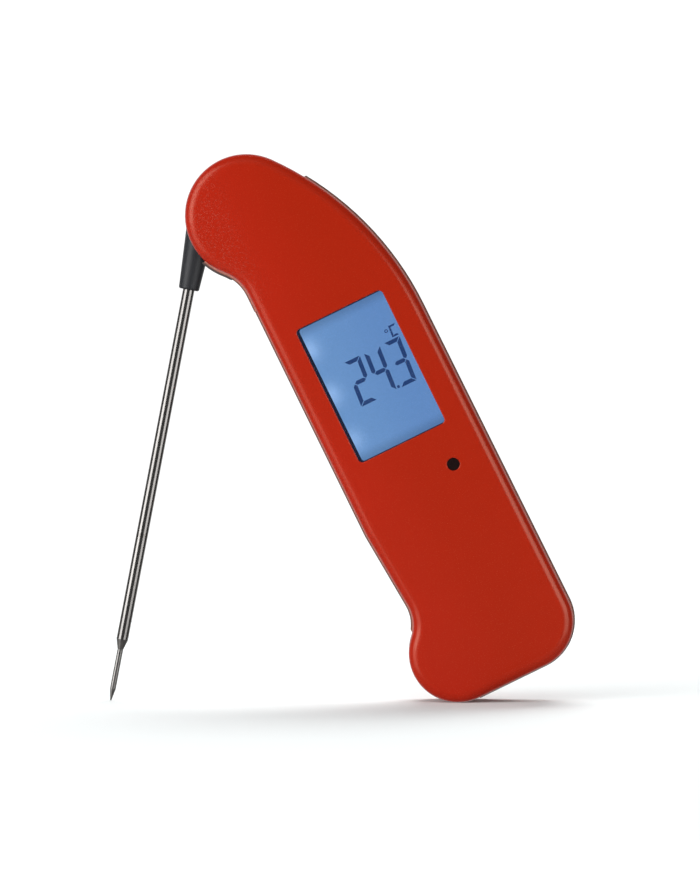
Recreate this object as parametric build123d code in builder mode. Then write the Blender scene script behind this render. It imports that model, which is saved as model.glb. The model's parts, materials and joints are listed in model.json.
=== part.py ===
from build123d import *
import os
from math import acos, atan2, cos, degrees, radians, sin, sqrt, tan

# A folding-probe food thermometer, in millimetres, standing on the heel of its case and the tip of
# its probe. The case is drawn in its own plane, with the pivot at the origin: u runs to the tail,
# v from the waist to the back edge, and w out of the display. The probe has such a plane of its own.

# ---- probe
stem_radius = 1.5
tip_radius = 0.73
point_length = 3.0
point_end_radius = 0.2
tip_taper_start = 16.0  # back from the end of the point
tip_taper_end = 13.4
seam_reach = 42.7  # from the end of the point to the weld between the two tubes
point_to_tail = 8.0  # from the folded point to the end of the case
tube_bore_radius = 1.0
tip_bore_radius = 0.46
stem_tail = 5.0  # where the stem begins inside the sleeve
sleeve_length = 21.35
sleeve_root_radius = 3.96
sleeve_end_radius = 2.62
sleeve_edge_round = 0.5
wire_radius = 0.15
wire_spacing = 0.42
bead_radius = 0.4
bead_depth = 3.6  # from the end of the point

# ---- hub and pivot
hub_thickness = 8.4
hub_edge_round = 0.8
hub_side_gap = 0.15
pocket_clearance = 0.4
head_lip = 0.5  # how far the round cheeks stand out past the hub
trunnion_radius = 5.5
trunnion_length = 2.2
trunnion_bore_radius = 2.2
running_clearance = 0.05
ring_section_radius = 0.6
ring_edge_distance = 0.85  # from the trunnion's end to the middle of its sealing ring
washer_outer_radius = 10.5
washer_thickness = 0.5
magnet_radius = 2.0
magnet_thickness = 2.0
magnet_distance = 9.0
seat_clearance = 0.02  # around pins, screws and tubes that sit fixed in their holes

# ---- outline of the case
waist_depth = 8.4
stem_clearance = 0.74  # between the folded stem and the seal along the waist
back_arc_radius = 79.1
back_flare = 0.32  # degrees by which the straight back edge spreads towards the tail
neck_radius = 11.3
tail_corner_radius = 12.4
heel_radius = 12.6
heel_drop = 0.6
hollow_radius = 10.0
rise_distance = 49.8  # from the end of the case to where its waist begins to rise
rise_angle = 4.3
opening = 36.9  # between the case's length and the probe as the thermometer stands

# ---- section of the case
case_thickness = 19.0
face_round = 2.8
edge_round = 0.3
cheek_edge_round = 0.5
wall = 2.0
seal_thickness = 1.2
seal_proud = 0.6
rim_thickness = 1.0  # the seal's frame round the mouth of the probe's channel
rim_depth = 0.8
rim_lip_proud = 0.95
rim_lip_start = 5.8
rim_lip_end = 12.8
rim_start = -2.7  # where the closed part of the rim begins on the back edge
channel_clearance = 0.28
channel_end_gap = 0.65
groove_width = 4.4
groove_floor_gap = 0.75  # between the folded stem and the floor of the groove
groove_end_gap = 2.0
groove_length = 20.0

# ---- display
window_length = 37.7
window_width = 24.3
window_waist_distance = 6.7
window_back_distance = 7.4
window_corner_radius = 1.2
window_sink = 0.3
window_gap = 0.1
window_lip = 1.5
window_lip_thickness = 0.8
window_edge_round = 0.3
gasket_thickness = 0.3
lcd_margin = 0.9
lcd_thickness = 1.8
lcd_gap = 0.2
backlight_thickness = 1.8
backlight_gap = 0.1
frame_wall = 1.2
frame_gap = 0.15
led_spacing = 14.2
led_length = 3.0
led_depth = 1.2
led_height = 1.4
strip_width = 1.5
strip_end_distance = 0.3

# ---- light sensor
sensor_distance = 10.5  # from the window's tail end
sensor_inset = 3.0  # from the line of the window's back edge
sensor_lens_radius = 1.5
sensor_lens_sink = 0.2
sensor_flange_radius = 2.2
sensor_flange_thickness = 0.8
sensor_chip_side = 2.0
sensor_chip_height = 0.8

# ---- circuit board
board_thickness = 1.2
board_edge_gap = 2.2
board_screw_margin = 3.8  # from the head screw to the board's end
board_bay_gap = 0.4
board_hole_gap = 0.4
ear_reach = 3.4  # past the light sensor
ear_width = 8.4
board_screw_spread = 6.5  # from the window's middle to either tail screw
board_screw_drop = 2.95  # how much nearer the waist the middle of the two tail screws lies
standoff_head_gap = 2.55  # from the display's frame to the head standoff
standoff_tail_gap = 3.15
board_screw_radius = 0.8
board_screw_head_radius = 1.6
board_screw_head_height = 1.0
board_screw_grip = 3.6
standoff_radius = 1.9
controller_side = 10.0
controller_height = 1.4
converter_side = 5.0
converter_height = 1.0
motion_chip_side = 3.0
motion_chip_height = 0.9
fold_switch_length = 4.0
fold_switch_width = 2.0
fold_switch_height = 1.2
chip_edge_chamfer = 0.15

# ---- battery bay
battery_radius = 5.25
battery_length = 44.5
battery_nub_radius = 1.9
battery_nub_length = 0.8
battery_edge_round = 0.5
battery_drop = 1.45  # how much nearer the waist than the window's middle
bay_distance = 12.7  # from the window's tail end
bay_tail_gap = 6.7  # from the bay to the end of the case
bay_gap = 0.35
bay_wall = 1.2
battery_cover_gap = 0.5
contact_thickness = 0.4
contact_side = 7.6
contact_corner_radius = 0.8
spring_height = 2.4
spring_radius = 3.2
spring_wire_radius = 0.3
spring_pitch = 0.85

# ---- battery cover
cover_thickness = 1.6
cover_head_reach = 8.4  # past the bay, towards the head
cover_tail_reach = 2.9
cover_width = 19.2
cover_corner_radius = 3.5
cover_gap = 0.15
cover_sink = 0.05
cover_edge_round = 0.35
seat_thickness = 1.65
seat_border = 1.0
bay_seal_distance = 1.4
bay_seal_width = 1.0
bay_seal_groove = 0.7
cover_screw_distance = 4.0  # from the cover's head end
cover_screw_radius = 1.25
cover_screw_head_radius = 2.6
cover_screw_head_height = 0.8
cover_screw_length = 6.6
cover_screw_slot_width = 0.8
cover_screw_slot_depth = 0.45
cover_screw_gap = 0.1
insert_radius = 1.8
insert_length = 4.0
cover_boss_radius = 3.0
cover_boss_height = 5.6
cover_boss_floor = 1.5  # left under the screw's blind hole

# ---- case screws
screw_radius = 1.0
screw_hole_radius = 1.2
screw_head_radius = 2.0
screw_head_height = 1.4
screw_counterbore_radius = 2.2
screw_counterbore_depth = 3.0
screw_grip = 5.0  # length held in the front boss
screw_hole_spare = 0.5
screw_socket_radius = 0.9
screw_socket_depth = 0.8
rear_boss_radius = 3.1
front_boss_radius = 2.4
boss_wall_gap = 0.1
head_screw_distance = 7.4  # from the hub's pocket
screw_frame_gap = 0.15  # from the waist screw's post to the display's frame
middle_screw_gap = 1.05  # from the display's frame to the middle screws' posts
heel_screw_offset = 4.0

# ---- values that follow: probe and head
stem_offset = waist_depth + seal_proud + stem_clearance + stem_radius
hub_radius = stem_offset + sleeve_root_radius
head_radius = hub_radius + head_lip
pocket_radius = hub_radius + pocket_clearance
hub_half = hub_thickness / 2
slot_half = hub_half + hub_side_gap
trunnion_end = hub_half + trunnion_length

# ---- values that follow: places along the case, from the hinge to the tail
boss_inset = wall + rear_boss_radius + boss_wall_gap
channel_end = sleeve_length + channel_end_gap
waist_screw_u = channel_end + boss_inset
frame_border = lcd_margin + frame_gap + frame_wall
frame_head = waist_screw_u + front_boss_radius + screw_frame_gap
window_start = frame_head + frame_border
window_end = window_start + window_length
frame_tail = window_end + frame_border
head_screw_u = pocket_radius + head_screw_distance
middle_screw_u = frame_tail + middle_screw_gap + front_boss_radius
board_screw_head_u = frame_head - standoff_head_gap - standoff_radius
board_screw_tail_u = frame_tail + standoff_tail_gap + standoff_radius
board_start = board_screw_head_u - board_screw_margin
sensor_u = window_end + sensor_distance
bay_start = window_end + bay_distance
bay_length = battery_length + spring_height + 2 * contact_thickness
bay_end = bay_start + bay_length
tail_reach = bay_end + bay_tail_gap
probe_reach = tail_reach - point_to_tail
rise_start = tail_reach - rise_distance

# ---- values that follow: places across the case, from the waist to the back edge
window_low = window_waist_distance - waist_depth
window_high = window_low + window_width
back_height = window_high + window_back_distance
window_v = (window_low + window_high) / 2
sensor_v = window_high - sensor_inset
battery_v = window_v - battery_drop
board_screw_low_v = window_v - board_screw_drop - board_screw_spread
board_screw_high_v = window_v - board_screw_drop + board_screw_spread

# ---- values that follow: centres of the outline's arcs
flare = radians(back_flare)
back_arc_along = sqrt((back_arc_radius - head_radius) ** 2 - (back_arc_radius - back_height) ** 2)
back_arc_across = back_height - back_arc_radius
back_arc_u = back_arc_along * cos(flare) - back_arc_across * sin(flare)
back_arc_v = back_arc_along * sin(flare) + back_arc_across * cos(flare)
back_turn = degrees(atan2(-back_arc_v, -back_arc_u))
neck_v = -(waist_depth + neck_radius)
neck_u = sqrt((head_radius + neck_radius) ** 2 - neck_v**2)
neck_turn = degrees(atan2(neck_v, neck_u))
corner_u = tail_reach - tail_corner_radius
corner_v = (back_height - tail_corner_radius + corner_u * sin(flare)) / cos(flare)
heel_u = tail_reach - heel_radius
heel_v = -heel_drop
rise = radians(rise_angle)
rise_to_heel = Vector(heel_u - rise_start, heel_v + waist_depth)
heel_along = rise_to_heel.X * cos(rise) + rise_to_heel.Y * sin(rise)
heel_above = rise_to_heel.Y * cos(rise) - rise_to_heel.X * sin(rise)
rise_length = heel_along - sqrt((heel_radius + hollow_radius) ** 2 - (heel_above + hollow_radius) ** 2)
hollow_u = rise_start + rise_length * cos(rise) + hollow_radius * sin(rise)
hollow_v = -waist_depth + rise_length * sin(rise) - hollow_radius * cos(rise)
hollow_turn = degrees(atan2(heel_v - hollow_v, heel_u - hollow_u))

# ---- values that follow: the stance, with the heel and the end of the point on the floor
spread = radians(opening)
point_centre = probe_reach - point_end_radius
point_u = point_centre * cos(spread) - stem_offset * sin(spread)
point_v = -point_centre * sin(spread) - stem_offset * cos(spread)
heel_to_point = Vector(point_u - heel_u, point_v - heel_v)
floor_turn = acos((heel_radius - point_end_radius) / heel_to_point.length)
lean = -atan2(heel_to_point.Y, heel_to_point.X) - floor_turn
probe_lean = spread - lean
pivot_z = heel_u * cos(lean) - heel_v * sin(lean) + heel_radius
reach_left = stem_offset * cos(probe_lean) + point_centre * sin(probe_lean) + point_end_radius
reach_right = corner_u * sin(lean) + corner_v * cos(lean) + tail_corner_radius + seal_proud
pivot_x = (reach_left - reach_right) / 2
pivot = (pivot_x, 0, pivot_z)
case_plane = Plane(origin=pivot, x_dir=(sin(lean), 0, -cos(lean)), z_dir=(0, -1, 0))
probe_plane = Plane(origin=pivot, x_dir=(-sin(probe_lean), 0, -cos(probe_lean)), z_dir=(0, -1, 0))
front = -Axis.Y  # towards the display

# ---- values that follow: depths, measured from the middle of the case
past_case = 2 * tail_reach  # the size of a cut that passes the whole case
half_case = case_thickness / 2
seal_half = seal_thickness / 2
shell_depth = half_case - seal_half
inner_face = half_case - wall
channel_floor = -(stem_offset - sleeve_root_radius - channel_clearance)
groove_floor = -(stem_offset - stem_radius - groove_floor_gap)
groove_end = probe_reach + groove_end_gap

window_u = (window_start + window_end) / 2
lip_front = inner_face - gasket_thickness
lip_back = lip_front - window_lip_thickness
lcd_length = window_length + 2 * lcd_margin
lcd_width = window_width + 2 * lcd_margin
lcd_front = lip_back - lcd_gap
lcd_back = lcd_front - lcd_thickness
lcd_low = window_low - lcd_margin
lcd_head = window_start - lcd_margin
lcd_tail = window_end + lcd_margin
backlight_front = lcd_back - backlight_gap
board_front = backlight_front - backlight_thickness - lcd_gap
board_back = board_front - board_thickness

bay_inner_radius = battery_radius + bay_gap
bay_outer_radius = bay_inner_radius + bay_wall
battery_w = -(half_case - cover_thickness - cover_sink - battery_cover_gap - battery_radius)
cover_back = -(half_case - cover_sink)
cover_front = cover_back + cover_thickness
seat_back = cover_front + cover_sink
cover_head = bay_start - cover_head_reach
cover_tail = bay_end + cover_tail_reach
cover_length = cover_tail - cover_head
cover_u = (cover_head + cover_tail) / 2
cover_screw_u = cover_head + cover_screw_distance
bay_u = (bay_start + bay_end) / 2

head_screw_v = back_arc_v + sqrt((back_arc_radius - boss_inset) ** 2 - (head_screw_u - back_arc_u) ** 2)
middle_screw_v = (back_height - boss_inset + middle_screw_u * sin(flare)) / cos(flare)
corner_shift = (tail_corner_radius - boss_inset) / sqrt(2)
case_screw_spots = [
    (head_screw_u, head_screw_v),
    (waist_screw_u, boss_inset - waist_depth),
    (middle_screw_u, middle_screw_v),
    (middle_screw_u, boss_inset - waist_depth),
    (corner_u + corner_shift, corner_v + corner_shift),
    (heel_u + heel_screw_offset, groove_floor + boss_inset),
]
board_screw_spots = [
    (board_screw_head_u, window_v),
    (board_screw_tail_u, board_screw_low_v),
    (board_screw_tail_u, board_screw_high_v),
]


def case_outline(grow=0.0):
    """The outline of the case, with every edge moved outward by grow."""
    bend_u = rise_start + grow * tan(rise / 2)
    with BuildSketch() as outline:
        with BuildLine():
            CenterArc((0, 0), head_radius + grow, back_turn, 360 + neck_turn - back_turn)
            CenterArc((neck_u, neck_v), neck_radius - grow, 180 + neck_turn, -90 - neck_turn)
            Line((neck_u, -waist_depth - grow), (bend_u, -waist_depth - grow))
            hollow = CenterArc(
                (hollow_u, hollow_v),
                hollow_radius - grow,
                90 + rise_angle,
                hollow_turn - 90 - rise_angle,
            )
            Line((bend_u, -waist_depth - grow), hollow @ 0)
            CenterArc((heel_u, heel_v), heel_radius + grow, 180 + hollow_turn, 180 - hollow_turn)
            Line((tail_reach + grow, heel_v), (tail_reach + grow, corner_v))
            corner = CenterArc((corner_u, corner_v), tail_corner_radius + grow, 0, 90 + back_flare)
            back = CenterArc(
                (back_arc_u, back_arc_v),
                back_arc_radius + grow,
                90 + back_flare,
                back_turn - 90 - back_flare,
            )
            Line(corner @ 1, back @ 0)
        make_face()
    return outline.sketch


def cavity_outline(inset=0.0):
    """The hollow inside the walls, clear of the hub pocket, the probe's channel and the tip groove."""
    clear = wall + inset
    with BuildSketch() as hollow:
        add(case_outline(-clear))
        Circle(pocket_radius + clear, mode=Mode.SUBTRACT)
        with Locations((channel_end + clear, channel_floor + clear)):
            Rectangle(past_case, past_case, align=(Align.MAX, Align.MAX), mode=Mode.SUBTRACT)
        with Locations((groove_end - groove_length - clear, groove_floor + clear)):
            Rectangle(past_case, past_case, align=(Align.MIN, Align.MAX), mode=Mode.SUBTRACT)
        Rectangle(past_case, past_case, align=(Align.MAX, Align.CENTER), mode=Mode.SUBTRACT)
    return hollow.sketch


def slot_outline():
    """The way between the cheeks: the hub's pocket and everything that the folding sleeve passes."""
    with BuildSketch() as slot:
        Circle(pocket_radius)
        with Locations((rim_start, 0)):
            Rectangle(past_case, past_case, align=(Align.MAX, Align.CENTER))
        with Locations((channel_end, channel_floor)):
            Rectangle(past_case, past_case, align=(Align.MAX, Align.MAX))
    return slot.sketch


def half_shell(side):
    """One hollow half of the case, from the seal outward: side is 1 for the front and -1 for the rear."""
    with BuildPart() as shell:
        with BuildSketch(case_plane.offset(side * seal_half)):
            add(case_outline())
        extrude(amount=side * shell_depth)
        fillet(shell.faces().sort_by(front)[-1 if side > 0 else 0].edges(), face_round)
        fillet(shell.faces().sort_by(front)[0 if side > 0 else -1].edges(), edge_round)
        with BuildSketch(case_plane.offset(side * seal_half)):
            add(cavity_outline())
        extrude(amount=side * (inner_face - seal_half), mode=Mode.SUBTRACT)
        with BuildSketch(case_plane.offset(side * seal_half)):
            add(slot_outline())
        extrude(amount=side * (slot_half - seal_half), mode=Mode.SUBTRACT)
        cheek_edges = shell.edges().filter_by(GeomType.CIRCLE).filter_by_position(
            front, side * slot_half - edge_round / 2, side * slot_half + edge_round / 2
        )
        head_edges = cheek_edges.filter_by(lambda edge: abs(edge.radius - head_radius) < seat_clearance)
        fillet(head_edges, cheek_edge_round)
        with BuildSketch(case_plane.offset(side * slot_half)):
            Circle(washer_outer_radius + running_clearance)
        extrude(amount=side * washer_thickness, mode=Mode.SUBTRACT)
        with BuildSketch(case_plane.offset(side * slot_half)):
            Circle(trunnion_radius + running_clearance)
        extrude(amount=side * (trunnion_length + running_clearance), mode=Mode.SUBTRACT)
        add(channel_rim(), mode=Mode.SUBTRACT)
        add(tip_groove(), mode=Mode.SUBTRACT)
    return shell.part


def outline_band(grow, start, end):
    """A strip along the waist side of the outline, as deep as the seal's groove and grown outward."""
    with BuildSketch() as band:
        add(case_outline(grow))
        add(case_outline(-rim_depth), mode=Mode.SUBTRACT)
        with Locations((start, 0)):
            Rectangle(end - start, past_case, align=(Align.MIN, Align.MAX), mode=Mode.INTERSECT)
    return band.sketch


def channel_rim():
    """The seal's frame round the mouth of the channel: an arm along each cheek, and a bridge."""
    rim_half = slot_half + rim_thickness
    with BuildPart() as rim:
        for side in (1, -1):
            with BuildSketch(case_plane.offset(side * slot_half)):
                add(outline_band(rim_lip_proud, rim_lip_start, rim_lip_end))
                add(outline_band(seal_proud, rim_lip_end, channel_end))
            extrude(amount=side * rim_thickness)
        with BuildSketch(case_plane.offset(-rim_half)):
            add(outline_band(seal_proud, channel_end, channel_end + rim_thickness))
        extrude(amount=2 * rim_half)
    return rim.part


def tip_groove():
    """The round-ended groove in the heel that takes the point of the folded probe."""
    mouth = case_plane.from_local_coords((groove_end - groove_length / 2, groove_floor, 0))
    with BuildPart() as groove:
        with BuildSketch(Plane(origin=mouth, x_dir=case_plane.x_dir, z_dir=-case_plane.y_dir)):
            SlotOverall(groove_length, groove_width)
        extrude(amount=heel_radius)
    return groove.part


def bosses(spots, radius, start, end):
    """Round posts from one depth to another, at each of the spots."""
    with BuildPart() as posts:
        with BuildSketch(case_plane.offset(start)):
            with Locations(*spots):
                Circle(radius)
        extrude(amount=end - start)
    return posts.part


os.makedirs("parts", exist_ok=True)

# ==== case ====
with BuildPart() as front_case:
    add(half_shell(1))
    add(bosses(case_screw_spots, front_boss_radius, 0, inner_face))
    add(bosses(board_screw_spots, standoff_radius, board_front, inner_face))
    add(
        bosses(case_screw_spots, screw_radius + seat_clearance, 0, screw_grip + screw_hole_spare),
        mode=Mode.SUBTRACT,
    )
    add(
        bosses(
            board_screw_spots,
            board_screw_radius + seat_clearance,
            board_front,
            board_front + board_screw_grip + screw_hole_spare,
        ),
        mode=Mode.SUBTRACT,
    )
    with BuildSketch(case_plane.offset(inner_face)):
        with Locations((window_u, window_v)):
            RectangleRounded(window_length, window_width, window_corner_radius)
        with Locations((sensor_u, sensor_v)):
            Circle(sensor_lens_radius + window_gap)
    extrude(amount=wall, mode=Mode.SUBTRACT)
    rim_edges = front_case.faces().sort_by(front)[-1].inner_wires().edges()
    fillet(rim_edges, window_edge_round)
front_case.part.label = "front_case"
export_step(front_case.part, "parts/front_case.step")

with BuildPart() as rear_case:
    add(half_shell(-1))
    add(bosses(case_screw_spots, rear_boss_radius, 0, -inner_face))
    # the thicker seat around the battery cover, with the battery's tub and the cover screw's boss on it
    with BuildSketch(case_plane.offset(seat_back)):
        with Locations((cover_u, battery_v)):
            RectangleRounded(
                cover_length + 2 * seat_border,
                cover_width + 2 * seat_border,
                cover_corner_radius + seat_border,
            )
    extrude(amount=seat_thickness)
    tub_plane = Plane(
        origin=case_plane.from_local_coords((bay_start - bay_wall, battery_v, battery_w)),
        x_dir=case_plane.y_dir,
        z_dir=case_plane.x_dir,
    )
    with BuildSketch(tub_plane):
        Circle(bay_outer_radius)
        Rectangle(
            2 * bay_outer_radius,
            battery_w - seat_back,
            align=(Align.CENTER, Align.MAX),
        )
    extrude(amount=bay_length + 2 * bay_wall)
    with BuildSketch(case_plane.offset(seat_back)):
        with Locations((cover_screw_u, battery_v)):
            Circle(cover_boss_radius)
    extrude(amount=seat_thickness + cover_boss_height)
    # hollows: the cover's recess, the tub, the seal's groove and the screw's holes
    with BuildSketch(case_plane.offset(-half_case)):
        with Locations((cover_u, battery_v)):
            RectangleRounded(
                cover_length + 2 * cover_gap,
                cover_width + 2 * cover_gap,
                cover_corner_radius + cover_gap,
            )
    extrude(amount=half_case + seat_back, mode=Mode.SUBTRACT)
    with BuildSketch(tub_plane.offset(bay_wall)):
        Circle(bay_inner_radius)
        Rectangle(
            2 * bay_inner_radius,
            battery_w + half_case,
            align=(Align.CENTER, Align.MAX),
        )
    extrude(amount=bay_length, mode=Mode.SUBTRACT)
    with BuildSketch(case_plane.offset(seat_back)):
        with Locations((bay_u, battery_v)):
            Rectangle(
                bay_length + 2 * (bay_seal_distance + bay_seal_width / 2),
                2 * (bay_inner_radius + bay_seal_distance + bay_seal_width / 2),
            )
            Rectangle(
                bay_length + 2 * (bay_seal_distance - bay_seal_width / 2),
                2 * (bay_inner_radius + bay_seal_distance - bay_seal_width / 2),
                mode=Mode.SUBTRACT,
            )
    extrude(amount=bay_seal_groove, mode=Mode.SUBTRACT)
    with BuildSketch(case_plane.offset(seat_back)):
        with Locations((cover_screw_u, battery_v)):
            Circle(insert_radius + seat_clearance)
    extrude(amount=seat_thickness + cover_boss_height - cover_boss_floor, mode=Mode.SUBTRACT)
    add(bosses(case_screw_spots, screw_hole_radius, -half_case, 0), mode=Mode.SUBTRACT)
    add(
        bosses(
            case_screw_spots,
            screw_counterbore_radius,
            -half_case,
            screw_counterbore_depth - half_case,
        ),
        mode=Mode.SUBTRACT,
    )
rear_case.part.label = "rear_case"
export_step(rear_case.part, "parts/rear_case.step")

# the soft seal that shows as a fine line in the parting plane, flush where the case stands on its heel
with BuildPart() as case_seal:
    with BuildSketch(case_plane.offset(-seal_half)):
        add(case_outline(seal_proud))
        with Locations((heel_u, heel_v)):
            Rectangle(past_case, past_case, align=(Align.MIN, Align.MAX), mode=Mode.SUBTRACT)
        add(case_outline())
    extrude(amount=seal_thickness)
    with BuildSketch(case_plane.offset(-seal_half)):
        add(cavity_outline())
        add(slot_outline())
    extrude(amount=seal_thickness, mode=Mode.SUBTRACT)
    add(tip_groove(), mode=Mode.SUBTRACT)
    add(channel_rim())
case_seal.part.label = "case_seal"
export_step(case_seal.part, "parts/case_seal.step")

with BuildPart() as case_screws:
    head_back = screw_counterbore_depth - half_case - screw_head_height
    add(bosses(case_screw_spots, screw_head_radius, head_back, head_back + screw_head_height))
    add(bosses(case_screw_spots, screw_radius, head_back, screw_grip))
    with BuildSketch(case_plane.offset(head_back)):
        with Locations(*case_screw_spots):
            RegularPolygon(screw_socket_radius, 6)
    extrude(amount=screw_socket_depth, mode=Mode.SUBTRACT)
case_screws.part.label = "case_screws"
export_step(case_screws.part, "parts/case_screws.step")

with BuildPart() as pivot_washers:
    for side in (1, -1):
        with BuildSketch(case_plane.offset(side * slot_half)):
            Circle(washer_outer_radius)
            Circle(trunnion_radius + running_clearance, mode=Mode.SUBTRACT)
        extrude(amount=side * washer_thickness)
pivot_washers.part.label = "pivot_washers"
export_step(pivot_washers.part, "parts/pivot_washers.step")

# ==== window and display ====
with BuildPart() as display_window:
    with BuildSketch(case_plane.offset(lip_back)):
        with Locations((window_u, window_v)):
            RectangleRounded(
                window_length + 2 * window_lip,
                window_width + 2 * window_lip,
                window_corner_radius + window_lip,
            )
    extrude(amount=window_lip_thickness)
    with BuildSketch(case_plane.offset(lip_front)):
        with Locations((window_u, window_v)):
            RectangleRounded(
                window_length - 2 * window_gap,
                window_width - 2 * window_gap,
                window_corner_radius - window_gap,
            )
    extrude(amount=half_case - window_sink - lip_front)
display_window.part.label = "display_window"
export_step(display_window.part, "parts/display_window.step")

with BuildPart() as window_gasket:
    with BuildSketch(case_plane.offset(lip_front)):
        with Locations((window_u, window_v)):
            RectangleRounded(
                window_length + 2 * window_lip,
                window_width + 2 * window_lip,
                window_corner_radius + window_lip,
            )
            RectangleRounded(window_length, window_width, window_corner_radius, mode=Mode.SUBTRACT)
    extrude(amount=gasket_thickness)
window_gasket.part.label = "window_gasket"
export_step(window_gasket.part, "parts/window_gasket.step")

with BuildPart() as lcd_panel:
    with BuildSketch(case_plane.offset(lcd_back)):
        with Locations((window_u, window_v)):
            Rectangle(lcd_length, lcd_width)
    extrude(amount=lcd_thickness)
lcd_panel.part.label = "lcd_panel"
export_step(lcd_panel.part, "parts/lcd_panel.step")

with BuildPart() as lcd_frame:
    with BuildSketch(case_plane.offset(board_front)):
        with Locations((window_u, window_v)):
            RectangleRounded(
                lcd_length + 2 * (frame_gap + frame_wall),
                lcd_width + 2 * (frame_gap + frame_wall),
                frame_wall,
            )
            Rectangle(lcd_length + 2 * frame_gap, lcd_width + 2 * frame_gap, mode=Mode.SUBTRACT)
    extrude(amount=lcd_front - board_front)
lcd_frame.part.label = "lcd_frame"
export_step(lcd_frame.part, "parts/lcd_frame.step")

light_low = lcd_low + frame_gap + led_depth + frame_gap
light_tail = lcd_tail - strip_end_distance - strip_width - frame_gap
with BuildPart() as backlight:
    with BuildSketch(case_plane.offset(backlight_front - backlight_thickness)):
        with Locations((lcd_head + frame_gap, light_low)):
            Rectangle(
                light_tail - lcd_head - frame_gap,
                lcd_low + lcd_width - light_low - frame_gap,
                align=(Align.MIN, Align.MIN),
            )
    extrude(amount=backlight_thickness)
backlight.part.label = "backlight"
export_step(backlight.part, "parts/backlight.step")

with BuildPart() as backlight_leds:
    with BuildSketch(case_plane.offset(board_front)):
        with Locations((window_u, light_low - frame_gap)):
            with GridLocations(led_spacing, 0, 3, 1):
                Rectangle(led_length, led_depth, align=(Align.CENTER, Align.MAX))
    extrude(amount=led_height)
backlight_leds.part.label = "backlight_leds"
export_step(backlight_leds.part, "parts/backlight_leds.step")

with BuildPart() as contact_strip:
    with BuildSketch(case_plane.offset(board_front)):
        with Locations((lcd_tail - strip_end_distance, window_v)):
            Rectangle(strip_width, window_width, align=(Align.MAX, Align.CENTER))
    extrude(amount=lcd_back - board_front)
contact_strip.part.label = "contact_strip"
export_step(contact_strip.part, "parts/contact_strip.step")

with BuildPart() as light_sensor_lens:
    with BuildSketch(case_plane.offset(inner_face)):
        with Locations((sensor_u, sensor_v)):
            Circle(sensor_lens_radius)
    extrude(amount=wall - sensor_lens_sink)
    with BuildSketch(case_plane.offset(inner_face)):
        with Locations((sensor_u, sensor_v)):
            Circle(sensor_flange_radius)
    extrude(amount=-sensor_flange_thickness)
light_sensor_lens.part.label = "light_sensor_lens"
export_step(light_sensor_lens.part, "parts/light_sensor_lens.step")

# ==== circuit board ====
with BuildPart() as circuit_board:
    with BuildSketch(case_plane.offset(board_back)):
        with Locations((board_start, 0)):
            Rectangle(
                bay_start - bay_wall - board_bay_gap - board_start,
                past_case,
                align=(Align.MIN, Align.CENTER),
            )
        with Locations((sensor_u + ear_reach, sensor_v)):
            Rectangle(sensor_u + ear_reach - window_u, ear_width, align=(Align.MAX, Align.CENTER))
        add(cavity_outline(board_edge_gap), mode=Mode.INTERSECT)
        with Locations(*case_screw_spots):
            Circle(front_boss_radius + board_hole_gap, mode=Mode.SUBTRACT)
        with Locations(*board_screw_spots):
            Circle(board_screw_radius + seat_clearance, mode=Mode.SUBTRACT)
    extrude(amount=board_thickness)
circuit_board.part.label = "circuit_board"
export_step(circuit_board.part, "parts/circuit_board.step")

with BuildPart() as board_screws:
    add(
        bosses(
            board_screw_spots,
            board_screw_head_radius,
            board_back - board_screw_head_height,
            board_back,
        )
    )
    add(bosses(board_screw_spots, board_screw_radius, board_back, board_front + board_screw_grip))
board_screws.part.label = "board_screws"
export_step(board_screws.part, "parts/board_screws.step")

with BuildPart() as light_sensor_chip:
    with BuildSketch(case_plane.offset(board_front)):
        with Locations((sensor_u, sensor_v)):
            Rectangle(sensor_chip_side, sensor_chip_side)
    extrude(amount=sensor_chip_height)
light_sensor_chip.part.label = "light_sensor_chip"
export_step(light_sensor_chip.part, "parts/light_sensor_chip.step")

rear_chips = {
    "controller_chip": (window_u, window_v, controller_side, controller_side, controller_height),
    "converter_chip": (
        window_start + converter_side,
        window_low + converter_side,
        converter_side,
        converter_side,
        converter_height,
    ),
    "motion_sensor": (window_start, sensor_v, motion_chip_side, motion_chip_side, motion_chip_height),
    "fold_switch": (
        board_start + fold_switch_width,
        0,
        fold_switch_width,
        fold_switch_length,
        fold_switch_height,
    ),
}
for name, (chip_u, chip_v, chip_length, chip_width, chip_height) in rear_chips.items():
    with BuildPart() as chip:
        with BuildSketch(case_plane.offset(board_back)):
            with Locations((chip_u, chip_v)):
                Rectangle(chip_length, chip_width)
        extrude(amount=-chip_height)
        chamfer(chip.faces().sort_by(front)[0].edges(), chip_edge_chamfer)
    chip.part.label = name
    export_step(chip.part, f"parts/{name}.step")

# ==== battery bay ====
battery_head = bay_start + contact_thickness
battery_axis = Axis(case_plane.from_local_coords((0, battery_v, battery_w)), case_plane.x_dir)
with BuildPart() as battery:
    with BuildSketch(Plane(origin=battery_axis.position, x_dir=case_plane.x_dir, z_dir=case_plane.z_dir)):
        with BuildLine():
            Polyline(
                (battery_head, 0),
                (battery_head, battery_nub_radius),
                (battery_head + battery_nub_length, battery_nub_radius),
                (battery_head + battery_nub_length, battery_radius),
                (battery_head + battery_length, battery_radius),
                (battery_head + battery_length, 0),
                close=True,
            )
        make_face()
    revolve(axis=battery_axis)
    can_edges = battery.edges().filter_by(GeomType.CIRCLE)
    rim_radius = (battery_nub_radius + battery_radius) / 2
    fillet(can_edges.filter_by(lambda edge: edge.radius > rim_radius), battery_edge_round)
battery.part.label = "battery"
export_step(battery.part, "parts/battery.step")

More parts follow.
